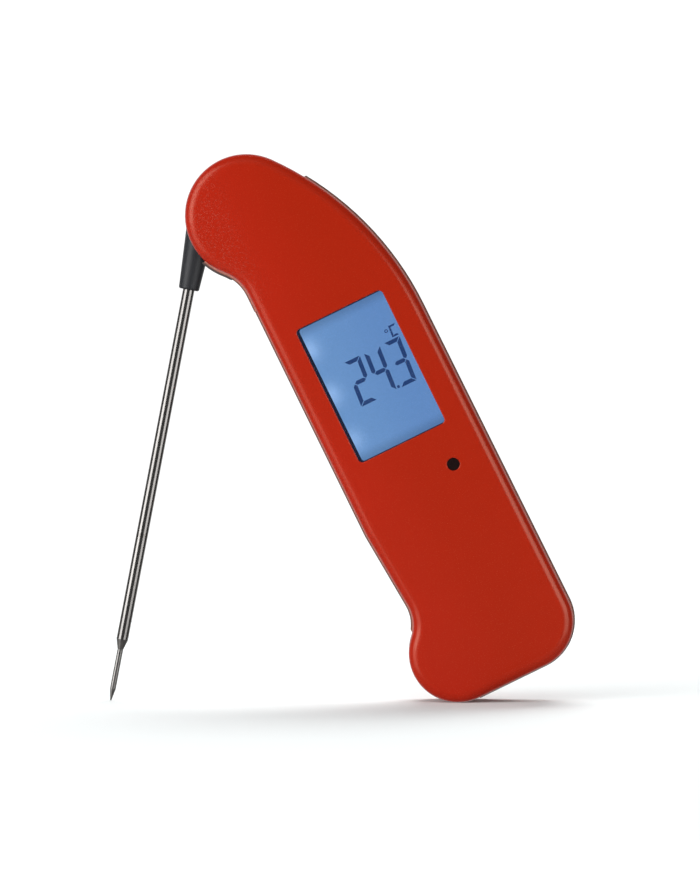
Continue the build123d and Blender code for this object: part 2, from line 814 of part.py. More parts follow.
contact_plane = Plane(
    origin=case_plane.from_local_coords((bay_start, battery_v, battery_w)),
    x_dir=case_plane.y_dir,
    z_dir=case_plane.x_dir,
)
with BuildPart() as battery_contact:
    with BuildSketch(contact_plane):
        RectangleRounded(contact_side, contact_side, contact_corner_radius)
    extrude(amount=contact_thickness)
battery_contact.part.label = "battery_contact"
export_step(battery_contact.part, "parts/battery_contact.step")

# a plate at the tail end of the tub with a coil on it, which presses on the battery's flat end
spring_plane = contact_plane.offset(bay_length - contact_thickness)
coil_plane = Plane(
    origin=spring_plane.origin - spring_plane.z_dir * (spring_wire_radius - running_clearance),
    x_dir=spring_plane.x_dir,
    z_dir=-spring_plane.z_dir,
)
with BuildPart() as battery_spring:
    with BuildSketch(spring_plane):
        RectangleRounded(contact_side, contact_side, contact_corner_radius)
    extrude(amount=contact_thickness)
    with BuildLine(coil_plane) as coil:
        Helix(
            spring_pitch,
            spring_height - 2 * spring_wire_radius,
            spring_radius,
            direction=coil_plane.z_dir,
        )
    with BuildSketch(Plane(origin=coil.line @ 0, z_dir=coil.line % 0)):
        Circle(spring_wire_radius)
    sweep(path=coil.line)
battery_spring.part.label = "battery_spring"
export_step(battery_spring.part, "parts/battery_spring.step")

with BuildPart() as battery_cover:
    with BuildSketch(case_plane.offset(cover_back)):
        with Locations((cover_u, battery_v)):
            RectangleRounded(cover_length, cover_width, cover_corner_radius)
    extrude(amount=cover_thickness)
    chamfer(battery_cover.faces().sort_by(front)[0].edges(), cover_edge_round)
    with BuildSketch(case_plane.offset(cover_back)):
        with Locations((cover_screw_u, battery_v)):
            Circle(cover_screw_head_radius + cover_screw_gap)
    extrude(amount=cover_screw_head_height, mode=Mode.SUBTRACT)
    with BuildSketch(case_plane.offset(cover_back)):
        with Locations((cover_screw_u, battery_v)):
            Circle(cover_screw_radius + cover_screw_gap)
    extrude(amount=cover_thickness, mode=Mode.SUBTRACT)
battery_cover.part.label = "battery_cover"
export_step(battery_cover.part, "parts/battery_cover.step")

with BuildPart() as battery_cover_seal:
    with BuildSketch(case_plane.offset(cover_front)):
        with Locations((bay_u, battery_v)):
            Rectangle(
                bay_length + 2 * bay_seal_distance + bay_seal_width - 2 * running_clearance,
                2 * (bay_inner_radius + bay_seal_distance) + bay_seal_width - 2 * running_clearance,
            )
            Rectangle(
                bay_length + 2 * bay_seal_distance - bay_seal_width + 2 * running_clearance,
                2 * (bay_inner_radius + bay_seal_distance) - bay_seal_width + 2 * running_clearance,
                mode=Mode.SUBTRACT,
            )
    extrude(amount=cover_sink + bay_seal_groove)
battery_cover_seal.part.label = "battery_cover_seal"
export_step(battery_cover_seal.part, "parts/battery_cover_seal.step")

with BuildPart() as battery_cover_screw:
    with BuildSketch(case_plane.offset(cover_back)):
        with Locations((cover_screw_u, battery_v)):
            Circle(cover_screw_head_radius)
    extrude(amount=cover_screw_head_height)
    with BuildSketch(case_plane.offset(cover_back)):
        with Locations((cover_screw_u, battery_v)):
            Circle(cover_screw_radius)
    extrude(amount=cover_screw_length)
    with BuildSketch(case_plane.offset(cover_back)):
        with Locations((cover_screw_u, battery_v)):
            Rectangle(cover_screw_slot_width, cover_screw_head_radius * 2)
    extrude(amount=cover_screw_slot_depth, mode=Mode.SUBTRACT)
battery_cover_screw.part.label = "battery_cover_screw"
export_step(battery_cover_screw.part, "parts/battery_cover_screw.step")

with BuildPart() as cover_screw_insert:
    with BuildSketch(case_plane.offset(seat_back)):
        with Locations((cover_screw_u, battery_v)):
            Circle(insert_radius)
            Circle(cover_screw_radius + seat_clearance, mode=Mode.SUBTRACT)
    extrude(amount=insert_length)
cover_screw_insert.part.label = "cover_screw_insert"
export_step(cover_screw_insert.part, "parts/cover_screw_insert.step")

# ==== probe ====
stem_axis = Axis(probe_plane.from_local_coords((0, -stem_offset, 0)), probe_plane.x_dir)
stem_plane = Plane(origin=stem_axis.position, x_dir=probe_plane.x_dir, z_dir=probe_plane.z_dir)
stem_tail_plane = Plane(
    origin=probe_plane.from_local_coords((stem_tail, -stem_offset, 0)),
    x_dir=probe_plane.y_dir,
    z_dir=probe_plane.x_dir,
)
seam = probe_reach - seam_reach
ring_level = trunnion_end - ring_edge_distance
with BuildPart() as probe_hub:
    with BuildSketch(probe_plane.offset(-hub_half)):
        Circle(hub_radius)
    extrude(amount=hub_thickness)
    fillet(probe_hub.edges().filter_by(GeomType.CIRCLE), hub_edge_round)
    with BuildSketch(stem_plane):
        with BuildLine():
            Polyline(
                (0, 0),
                (0, sleeve_root_radius),
                (sleeve_length, sleeve_end_radius),
                (sleeve_length, 0),
                close=True,
            )
        make_face()
    revolve(axis=stem_axis)
    sleeve_end = probe_hub.faces().filter_by(GeomType.PLANE).sort_by(stem_axis)[-1]
    fillet(sleeve_end.edges(), sleeve_edge_round)
    with BuildSketch(probe_plane.offset(-trunnion_end)):
        Circle(trunnion_radius)
    extrude(amount=2 * trunnion_end)
    # hollows: the wires' way through the trunnions, the rings' grooves, the stem's bore, the magnet's pocket
    with BuildSketch(probe_plane.offset(-trunnion_end)):
        Circle(trunnion_bore_radius)
    extrude(amount=2 * trunnion_end, mode=Mode.SUBTRACT)
    for side in (1, -1):
        with BuildSketch(probe_plane.offset(side * ring_level)):
            Circle(trunnion_radius)
            Circle(trunnion_radius - 2 * ring_section_radius - seat_clearance, mode=Mode.SUBTRACT)
        extrude(amount=ring_section_radius + seat_clearance, both=True, mode=Mode.SUBTRACT)
    with BuildSketch(stem_tail_plane):
        Circle(stem_radius + seat_clearance)
    extrude(amount=sleeve_length - stem_tail, mode=Mode.SUBTRACT)
    with BuildSketch(probe_plane.offset(hub_half)):
        with Locations((0, magnet_distance)):
            Circle(magnet_radius + seat_clearance)
    extrude(amount=-magnet_thickness, mode=Mode.SUBTRACT)
probe_hub.part.label = "probe_hub"
export_step(probe_hub.part, "parts/probe_hub.step")

with BuildPart(probe_plane) as pivot_seals:
    with Locations((0, 0, ring_level), (0, 0, -ring_level)):
        Torus(trunnion_radius - ring_section_radius + running_clearance / 2, ring_section_radius)
pivot_seals.part.label = "pivot_seals"
export_step(pivot_seals.part, "parts/pivot_seals.step")

with BuildPart() as fold_magnet:
    with BuildSketch(probe_plane.offset(hub_half)):
        with Locations((0, magnet_distance)):
            Circle(magnet_radius)
    extrude(amount=-magnet_thickness)
fold_magnet.part.label = "fold_magnet"
export_step(fold_magnet.part, "parts/fold_magnet.step")

with BuildPart() as probe_stem:
    with BuildSketch(stem_tail_plane):
        Circle(stem_radius)
        Circle(tube_bore_radius, mode=Mode.SUBTRACT)
    extrude(amount=seam - stem_tail)
probe_stem.part.label = "probe_stem"
export_step(probe_stem.part, "parts/probe_stem.step")

# the lower tube, drawn down to a fine point that holds the sensor
taper_start = probe_reach - tip_taper_start
taper_end = probe_reach - tip_taper_end
bead_u = probe_reach - bead_depth
with BuildPart() as probe_tip:
    with BuildSketch(stem_plane):
        with BuildLine():
            Polyline(
                (probe_reach - point_end_radius, point_end_radius),
                (probe_reach - point_length, tip_radius),
                (taper_end, tip_radius),
                (taper_start, stem_radius),
                (seam, stem_radius),
                (seam, tube_bore_radius),
                (taper_start, tube_bore_radius),
                (taper_end, tip_bore_radius),
                (bead_u + bead_radius, tip_bore_radius),
                (bead_u + bead_radius, 0),
                (probe_reach, 0),
            )
            CenterArc((probe_reach - point_end_radius, 0), point_end_radius, 0, 90)
        make_face()
    revolve(axis=stem_axis)
probe_tip.part.label = "probe_tip"
export_step(probe_tip.part, "parts/probe_tip.step")

with BuildPart() as thermocouple_wires:
    with BuildSketch(stem_tail_plane):
        with GridLocations(wire_spacing, 0, 2, 1):
            Circle(wire_radius)
    extrude(amount=bead_u - bead_radius - stem_tail)
thermocouple_wires.part.label = "thermocouple_wires"
export_step(thermocouple_wires.part, "parts/thermocouple_wires.step")

with BuildPart(stem_plane) as thermocouple_bead:
    with Locations((bead_u, 0, 0)):
        Sphere(bead_radius)
thermocouple_bead.part.label = "thermocouple_bead"
export_step(thermocouple_bead.part, "parts/thermocouple_bead.step")
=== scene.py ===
"""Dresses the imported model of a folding-probe food thermometer and stands it in a small studio."""

import json
import logging
import math
from collections.abc import Iterable, Sequence
from dataclasses import dataclass
from enum import Enum
from typing import Any, ClassVar

import bmesh
import bpy
from bpy.types import Material, Node, NodeSocket, NodeTree, Object
from mathutils import Matrix, Vector


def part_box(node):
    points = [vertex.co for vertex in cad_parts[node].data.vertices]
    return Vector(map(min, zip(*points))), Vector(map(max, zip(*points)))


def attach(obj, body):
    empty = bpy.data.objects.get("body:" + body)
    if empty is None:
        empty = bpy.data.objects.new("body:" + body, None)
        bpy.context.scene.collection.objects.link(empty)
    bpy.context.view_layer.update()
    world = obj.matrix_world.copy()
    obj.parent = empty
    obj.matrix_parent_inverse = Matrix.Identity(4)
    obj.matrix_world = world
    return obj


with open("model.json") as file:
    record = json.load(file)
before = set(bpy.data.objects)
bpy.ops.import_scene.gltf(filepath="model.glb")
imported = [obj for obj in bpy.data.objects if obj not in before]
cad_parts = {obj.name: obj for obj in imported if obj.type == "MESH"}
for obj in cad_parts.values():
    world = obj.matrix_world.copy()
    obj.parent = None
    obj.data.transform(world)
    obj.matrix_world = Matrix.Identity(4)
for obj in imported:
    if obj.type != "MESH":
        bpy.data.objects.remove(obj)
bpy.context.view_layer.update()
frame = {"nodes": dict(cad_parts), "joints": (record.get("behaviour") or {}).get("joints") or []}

Point = tuple[float, float]  # x and y in a plane, in millimetres
Outline = Sequence[Point]
Span = tuple[float, float]  # where something begins and where it ends
Colour = tuple[float, float, float, float]  # linear red, green, blue and alpha
Feed = Node | NodeSocket  # what an input is linked to: a socket, or a node by its first output

MM = 0.001
CASE = "case"  # the body that the print on the panel rides on
MIX_FIRST, MIX_SECOND, MIX_RESULT = 6, 7, 2  # the colour sockets of a Mix node
SMOOTH = {"interpolation_type": "SMOOTHSTEP"}  # gives a Map Range node soft ends
BLACK: Colour = (0.0, 0.0, 0.0, 1.0)
WHITE: Colour = (1.0, 1.0, 1.0, 1.0)
log = logging.getLogger("thermometer")


# ==== places ====


@dataclass(frozen=True)
class LocalPlane:
    """A flat part's own frame in millimetres, with x along it, y across it and z out of the display.

    Attributes:
        origin: The frame's origin in the row frame, in metres.
        turn: The angle from straight down to x, in degrees, positive towards +X.
    """

    origin: Vector
    turn: float

    def matrix(self) -> Matrix:
        """Works out the frame's directions.

        Returns:
            The rotation whose columns are the frame's x, y and z in the row frame.
        """
        angle = math.radians(self.turn)
        along = Vector((math.sin(angle), 0.0, -math.cos(angle)))
        out = Vector((0.0, -1.0, 0.0))
        return Matrix((along, out.cross(along), out)).transposed()

    def point(self, x: float, y: float, z: float) -> Vector:
        """The place in the row frame, in metres, of a point given in the frame's millimetres."""
        return self.origin + self.matrix() @ Vector((x, y, z)) * MM

    def coordinates(self, tree: NodeTree) -> Node:
        """Adds nodes that give a shader this frame's coordinates in millimetres.

        Args:
            tree: The material's node tree.

        Returns:
            The node with the coordinates.
        """
        place = add_node(tree, "ShaderNodeTexCoord")
        return add_node(
            tree,
            "ShaderNodeMapping",
            {
                "Vector": place.outputs["Object"],
                "Location": self.origin,
                "Rotation": self.matrix().to_euler(),
                "Scale": (MM, MM, MM),
            },
            vector_type="TEXTURE",
        )


CASE_LEAN = 26.09  # degrees from straight down to the case's length
PROBE_LEAN = -10.81  # degrees from straight down to the tubes
PIVOT = Vector(frame["joints"][0]["pos_m"])
CASE_PLANE = LocalPlane(PIVOT, CASE_LEAN)
PROBE_PLANE = LocalPlane(PIVOT, PROBE_LEAN)


# ==== nodes and colours ====


def add_node(
    tree: NodeTree,
    kind: str,
    inputs: Sequence[Any] | dict[str | int, Any] = (),
    stops: Sequence[tuple[float, Colour]] = (),
    **settings: Any,
) -> Node:
    """Adds one node to a tree.

    Args:
        tree: The node tree.
        kind: The node's type name.
        inputs: A value, a socket or a node for each input, in the inputs' order or by name or number.
            A node is linked by its first output.
        stops: The places and colours of a colour ramp's two stops.
        **settings: The node's own properties.

    Returns:
        The new node.
    """
    node = tree.nodes.new(kind)
    for name, setting in settings.items():
        setattr(node, name, setting)
    for key, value in inputs.items() if isinstance(inputs, dict) else enumerate(inputs):
        if isinstance(value, Node):
            tree.links.new(value.outputs[0], node.inputs[key])
        elif isinstance(value, NodeSocket):
            tree.links.new(value, node.inputs[key])
        else:
            node.inputs[key].default_value = value
    for number, (position, colour) in enumerate(stops):
        node.color_ramp.elements[number].position = position
        node.color_ramp.elements[number].color = colour
    return node


def linear(code: str) -> Colour:
    """The linear colour of an sRGB hex code.

    Args:
        code: Six hex digits after a hash sign.

    Returns:
        Red, green, blue and an alpha of one.
    """
    channels = [int(code[i : i + 2], 16) / 255 for i in (1, 3, 5)]
    flat = [c / 12.92 if c <= 0.04045 else ((c + 0.055) / 1.055) ** 2.4 for c in channels]
    return flat[0], flat[1], flat[2], 1.0


# ==== finishes ====


@dataclass(frozen=True)
class Finish:
    """The surface of one real material.

    Attributes:
        name: What the material is and how its surface was made.
        slot: The record's material slot. It is not used.
        plane: The frame that its pattern lies in.
    """

    name: str
    slot: str
    plane: LocalPlane

    def material(self) -> Material:
        """Makes the material the first time that it is asked for.

        Returns:
            The Blender material.
        """
        made = bpy.data.materials.get(self.name)
        if made is None:
            made = bpy.data.materials.new(self.name)
            made.use_nodes = True
            tree = made.node_tree
            tree.nodes.clear()
            surface = self.surface(tree, self.plane.coordinates(tree))
            add_node(tree, "ShaderNodeOutputMaterial", {"Surface": surface})
        return made

    def surface(self, tree: NodeTree, place: Node) -> Node:
        """Adds the nodes of the surface.

        Args:
            tree: The material's node tree.
            place: The coordinates in the plane's millimetres.

        Returns:
            The shader.
        """
        raise NotImplementedError

    def put_on(self, *nodes: str) -> None:
        """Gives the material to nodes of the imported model.

        Args:
            *nodes: The nodes' names.
        """
        for name in nodes:
            piece = frame["nodes"][name]
            piece.data.materials.clear()
            piece.data.materials.append(self.material())
            log.info("%s: %s", name, self.name)


@dataclass(frozen=True, kw_only=True)
class Moulding(Finish):
    """A moulded polymer or elastomer.

    Attributes:
        colour: The main colour.
        cloud: The colour of the faint clouds that the melt leaves.
        cloud_mm: How far apart the clouds lie.
        grain_mm: The spacing of the mould's surface grain.
        grain_depth: The height of the grain, in millimetres.
        roughness: The roughness of the middling grain.
        ior: The index of refraction.
        gloss_tint: The cast of its gloss.
        edge_highlight: The colour of the painted highlight on its sharp edges, or nothing.
        shaded_side: The darker colour of the painted shade towards high y, or nothing.
        shade_y: Where along y the painted shade begins and where it is full.
        shade_y: Where along y the fading begins and where it is full.
        pit_depth: The depth of the sparse pits that sparkle, in millimetres.
        pit_mm: The spacing of the pits.
        pit_x: Where along x the pits are sharp and where they are smoothed away.
        pit_y: The same along y.
        bounce_light: The colour of the painted bounce light in its corners, or nothing.
        bounce_light_mm: How far the painted bounce light reaches out of a corner.
    """

    CLOUD_EDGE: ClassVar[Span] = (0.35, 0.7)  # the noise where a cloud begins and where it is full
    GRAIN_EDGE: ClassVar[Span] = (0.3, 0.7)  # the noise of the smoothest and of the roughest grain
    GLOSS_SPREAD: ClassVar[float] = 0.15  # how far the grain changes the roughness, as a share of it
    PIT_EDGE: ClassVar[Span] = (0.12, 0.42)  # a pit's floor and rim, as shares of the pits' spacing
    HIGHLIGHT_MM: ClassVar[float] = 0.35  # how far in from an edge the painted highlight reaches
    HIGHLIGHT_LIKENESS: ClassVar[Span] = (0.7, 0.98)  # how alike the true and rounded normals are, with the full painted highlight and with none
    HIGHLIGHT_MOST: ClassVar[float] = 0.6  # how much of the painted highlight's colour a sharp edge has
    BOUNCE_LIGHT_EDGE: ClassVar[Span] = (0.62, 0.97)  # how open a spot with the full painted bounce light and one with none are

    colour: str
    cloud: str
    cloud_mm: float = 18.0
    grain_mm: float = 0.4
    grain_depth: float = 0.02
    roughness: float = 0.4
    ior: float = 1.52
    gloss_tint: str = "#FFFFFF"
    edge_highlight: str | None = None
    shaded_side: str | None = None
    shade_y: Span = (0.0, 1.0)
    pit_depth: float = 0.0
    pit_mm: float = 0.5
    pit_x: Span = (0.0, 1.0)
    pit_y: Span = (0.0, 1.0)
    bounce_light: str | None = None
    bounce_light_mm: float = 1.0

    def surface(self, tree: NodeTree, place: Node) -> Node:
        """Adds the nodes of the surface, with its grain in the height and in the gloss.

        Args:
            tree: The material's node tree.
            place: The coordinates in the plane's millimetres.

        Returns:
            The shader.
        """
        grain = add_node(
            tree,
            "ShaderNodeTexNoise",
            {"Vector": place, "Scale": 1 / self.grain_mm, "Detail": 2.0, "Roughness": 0.6},
        )
        smooth = self.roughness * (1 - self.GLOSS_SPREAD)
        rough = min(1.0, self.roughness * (1 + self.GLOSS_SPREAD))
        gloss = add_node(tree, "ShaderNodeMapRange", (grain, *self.GRAIN_EDGE, smooth, rough), **SMOOTH)
        relief = add_node(
            tree,
            "ShaderNodeBump",
            {
                "Height": self.with_pits(tree, place, grain) if self.pit_depth else grain,
                "Distance": self.grain_depth * MM,
                "Strength": 1.0,
            },
        )
        return add_node(
            tree,
            "ShaderNodeBsdfPrincipled",
            {
                "Base Color": self.tint(tree, place),
                "Roughness": gloss,
                "Normal": relief,
                "IOR": self.ior,
                "Specular Tint": linear(self.gloss_tint),
            },
        )

    def tint(self, tree: NodeTree, place: Node) -> Feed:
        """Adds the colour, with its clouds and the painted shade and light laid over it.

        Args:
            tree: The material's node tree.
            place: The coordinates in the plane's millimetres.

        Returns:
            The colour.
        """
        clouds = add_node(
            tree, "ShaderNodeTexNoise", {"Vector": place, "Scale": 1 / self.cloud_mm, "Detail": 3.0}
        )
        colour: Feed = add_node(
            tree,
            "ShaderNodeValToRGB",
            {"Fac": clouds},
            stops=tuple(zip(self.CLOUD_EDGE, (linear(self.colour), linear(self.cloud)))),
        )
        # painted shade, painted highlight and painted bounce light, each with its share
        painted_light = []
        if self.shaded_side is not None:
            painted_light.append((self.side_shade(tree, place), self.shaded_side))
        if self.edge_highlight is not None:
            painted_light.append((self.highlight_on_edges(tree), self.edge_highlight))
        if self.bounce_light is not None:
            painted_light.append((self.bounce_in_corners(tree), self.bounce_light))
        for share, cover in painted_light:
            colour = add_node(
                tree,
                "ShaderNodeMix",
                {0: share, MIX_FIRST: colour, MIX_SECOND: linear(cover)},
                data_type="RGBA",
            ).outputs[MIX_RESULT]
        return colour

    def side_shade(self, tree: NodeTree, place: Node) -> Node:
        """Adds nodes that give how much painted shade a spot has.

        Args:
            tree: The material's node tree.
            place: The coordinates in the plane's millimetres.

        Returns:
            From zero to one along y.
        """
        parts = add_node(tree, "ShaderNodeSeparateXYZ", (place,))
        return add_node(
            tree, "ShaderNodeMapRange", (parts.outputs["Y"], *self.shade_y, 0.0, 1.0), **SMOOTH
        )

    def highlight_on_edges(self, tree: NodeTree) -> Node:
        """Adds nodes that give how much painted highlight a spot has.

        Args:
            tree: The material's node tree.

        Returns:
            The most on a sharp edge, and zero on a flat.
        """
        shape = add_node(tree, "ShaderNodeNewGeometry")
        rounded = add_node(tree, "ShaderNodeBevel", {"Radius": self.HIGHLIGHT_MM * MM}, samples=4)
        likeness = add_node(
            tree, "ShaderNodeVectorMath", (shape.outputs["Normal"], rounded), operation="DOT_PRODUCT"
        )
        return add_node(
            tree,
            "ShaderNodeMapRange",
            (likeness.outputs["Value"], *self.HIGHLIGHT_LIKENESS, self.HIGHLIGHT_MOST, 0.0),
            **SMOOTH,
        )

    def bounce_in_corners(self, tree: NodeTree) -> Node:
        """Adds nodes that give how much painted bounce light a spot has.

        Args:
            tree: The material's node tree.

        Returns:
            One in a corner, and zero in the open.
        """
        corner = add_node(tree, "ShaderNodeAmbientOcclusion", {"Distance": self.bounce_light_mm * MM}, samples=8)
        return add_node(
            tree, "ShaderNodeMapRange", (corner.outputs["AO"], *self.BOUNCE_LIGHT_EDGE, 1.0, 0.0), **SMOOTH
        )

    def with_pits(self, tree: NodeTree, place: Node, grain: Node) -> Node:
        """Adds the pits to the grain's height, where they aren't smoothed away.

        Args:
            tree: The material's node tree.
            place: The coordinates in the plane's millimetres.
            grain: The grain's height, in grain depths.

        Returns:
            The height, in grain depths.
        """
        cells = add_node(tree, "ShaderNodeTexVoronoi", {"Vector": place, "Scale": 1 / self.pit_mm})
        depth = add_node(
            tree,
            "ShaderNodeMapRange",
            (cells, *self.PIT_EDGE, -self.pit_depth / self.grain_depth, 0.0),
            **SMOOTH,
        )
        parts = add_node(tree, "ShaderNodeSeparateXYZ", (place,))
        sharp = [
            add_node(tree, "ShaderNodeMapRange", (parts.outputs[axis], *span, 1.0, 0.0), **SMOOTH)
            for axis, span in (("X", self.pit_x), ("Y", self.pit_y))
        ]
        left = add_node(tree, "ShaderNodeMath", sharp, operation="MULTIPLY")
        return add_node(tree, "ShaderNodeMath", (depth, left, grain), operation="MULTIPLY_ADD")


@dataclass(frozen=True, kw_only=True)
class Metal(Finish):
    """A metal that was drawn, turned or plated.

    Attributes:
        colour: The colour of its reflection.
        tarnish: The colour of its duller streaks.
        streak_mm: The spacing of its streaks along x, y and z of the plane.
        streak_depth: The depth of the streaks, in millimetres.
        roughness: The roughness of its brightest stretches.
        dulling: How much rougher its dull streaks are.
        weld_x: The x of a weld round the tube, or nothing.
        weld_mm: The width of the weld.
        weld: The colour of the weld, where the heat has dulled it.
        rougher: Each x where the surface changes, and how much rougher it is from there on.
    """

    TARNISH_EDGE: ClassVar[Span] = (0.4, 0.75)  # the noise where a streak's colour begins and is full
    DULL_EDGE: ClassVar[Span] = (0.35, 0.75)  # the noise where a streak's dullness begins and is full
    CHANGE_MM: ClassVar[float] = 0.4  # half the length over which the surface changes
    WELD_RAGGED_MM: ClassVar[float] = 0.4545  # how coarse the weld's ragged rim is
    WELD_EDGE: ClassVar[Span] = (0.3, 0.6)  # where the weld fades and is gone, as shares of its width
    WELD_SHARE: ClassVar[float] = 0.8  # how much of its colour the middle of the weld has

    colour: str
    tarnish: str
    streak_mm: tuple[float, float, float] = (1.0, 1.0, 1.0)
    streak_depth: float = 0.002
    roughness: float = 0.2
    dulling: float = 0.12
    weld_x: float | None = None
    weld_mm: float = 1.0
    weld: str = "#9A9692"
    rougher: tuple[tuple[float, float], ...] = ()

    def surface(self, tree: NodeTree, place: Node) -> Node:
        """Adds the nodes of the surface, with its streaks in the colour, the height and the gloss.

        Args:
            tree: The material's node tree.
            place: The coordinates in the plane's millimetres.

        Returns:
            The shader.
        """
        stretched = add_node(tree, "ShaderNodeVectorMath", (place, self.streak_mm), operation="DIVIDE")
        streaks = add_node(tree, "ShaderNodeTexNoise", {"Vector": stretched, "Scale": 1.0, "Detail": 3.0})
        colour: Feed = add_node(
            tree,
            "ShaderNodeValToRGB",
            {"Fac": streaks},
            stops=tuple(zip(self.TARNISH_EDGE, (linear(self.colour), linear(self.tarnish)))),
        )
        if self.weld_x is not None:
            colour = add_node(
                tree,
                "ShaderNodeMix",
                {0: self.at_weld(tree, place), MIX_FIRST: colour, MIX_SECOND: linear(self.weld)},
                data_type="RGBA",
            ).outputs[MIX_RESULT]
        relief = add_node(tree, "ShaderNodeBump", {"Height": streaks, "Distance": self.streak_depth * MM})
        return add_node(
            tree,
            "ShaderNodeBsdfPrincipled",
            {
                "Base Color": colour,
                "Metallic": 1.0,
                "Roughness": self.dullness(tree, place, streaks),
                "Normal": relief,
            },
        )

    def dullness(self, tree: NodeTree, place: Node, streaks: Node) -> Node:
        """Adds the roughness, with its streaks and with its changes along x.

        Args:
            tree: The material's node tree.
            place: The coordinates in the plane's millimetres.
            streaks: The noise that draws the streaks.

        Returns:
            The roughness.
        """
        gloss = add_node(
            tree,
            "ShaderNodeMapRange",
            (streaks, *self.DULL_EDGE, self.roughness, self.roughness + self.dulling),
            **SMOOTH,
        )
        parts = add_node(tree, "ShaderNodeSeparateXYZ", (place,))
        for x, change in self.rougher:
            step = add_node(
                tree,
                "ShaderNodeMapRange",
                (parts.outputs["X"], x - self.CHANGE_MM, x + self.CHANGE_MM, 0.0, change),
                **SMOOTH,
            )
            gloss = add_node(tree, "ShaderNodeMath", (gloss, step), operation="ADD")
        return gloss

    def at_weld(self, tree: NodeTree, place: Node) -> Node:
        """Adds nodes that find the weld's ragged ring.

        Args:
            tree: The material's node tree.
            place: The coordinates in the plane's millimetres.

        Returns:
            The most in the ring, and zero away from it.
        """
        parts = add_node(tree, "ShaderNodeSeparateXYZ", (place,))
        ragged = add_node(
            tree, "ShaderNodeTexNoise", {"Vector": place, "Scale": 1 / self.WELD_RAGGED_MM, "Detail": 2.0}
        )
        away = add_node(tree, "ShaderNodeMath", (parts.outputs["X"], self.weld_x), operation="SUBTRACT")
        moved = add_node(tree, "ShaderNodeMath", (ragged, self.weld_mm, away), operation="MULTIPLY_ADD")
        distance = add_node(tree, "ShaderNodeMath", (moved,), operation="ABSOLUTE")
        fades, gone = (self.weld_mm * share for share in self.WELD_EDGE)
        return add_node(
            tree, "ShaderNodeMapRange", (distance, fades, gone, self.WELD_SHARE, 0.0), **SMOOTH
        )


@dataclass(frozen=True, kw_only=True)
class ClearPlastic(Finish):
    """A clear cast or moulded plastic.

    Attributes:
        tint: The colour of the light that comes through.
        wave_mm: The spacing of the faint waves in its surface.
        haze: The roughness of its haziest spots.
        ior: The index of refraction.
    """

    tint: str = "#F4F8FC"
    wave_mm: float = 9.0
    haze: float = 0.04
    ior: float = 1.49

    def surface(self, tree: NodeTree, place: Node) -> Node:
        """Adds the nodes of the surface, with its waves in the gloss.

        Args:
            tree: The material's node tree.
            place: The coordinates in the plane's millimetres.

        Returns:
            The shader.
        """
        waves = add_node(
            tree, "ShaderNodeTexNoise", {"Vector": place, "Scale": 1 / self.wave_mm, "Detail": 1.0}
        )
        return add_node(
            tree,
            "ShaderNodeBsdfPrincipled",
            {
                "Base Color": linear(self.tint),
                "Roughness": add_node(tree, "ShaderNodeMapRange", (waves, 0.0, 1.0, 0.0, self.haze)),
                "IOR": self.ior,
                "Transmission Weight": 1.0,
            },
        )


@dataclass(frozen=True, kw_only=True)
class BacklitFinish(Finish):
    """A surface that is seen by the light that comes through it.

    Attributes:
        roughness: The roughness of its gloss.
    """

    roughness: float

    def surface(self, tree: NodeTree, place: Node) -> Node:
        """Adds the nodes of a black surface that sends the light out.

        Args:
            tree: The material's node tree.
            place: The coordinates in the plane's millimetres.

        Returns:
            The shader.
        """
        return add_node(
            tree,
            "ShaderNodeBsdfPrincipled",
            {
                "Base Color": BLACK,
                "Roughness": self.roughness,
                "Emission Color": self.light(tree, place),
                "Emission Strength": 1.0,
            },
        )

    def light(self, tree: NodeTree, place: Node) -> Node:
        """Adds the nodes of the light that comes through.

        Args:
            tree: The material's node tree.
            place: The coordinates in the plane's millimetres.

        Returns:
            The light's colour.
        """
        raise NotImplementedError


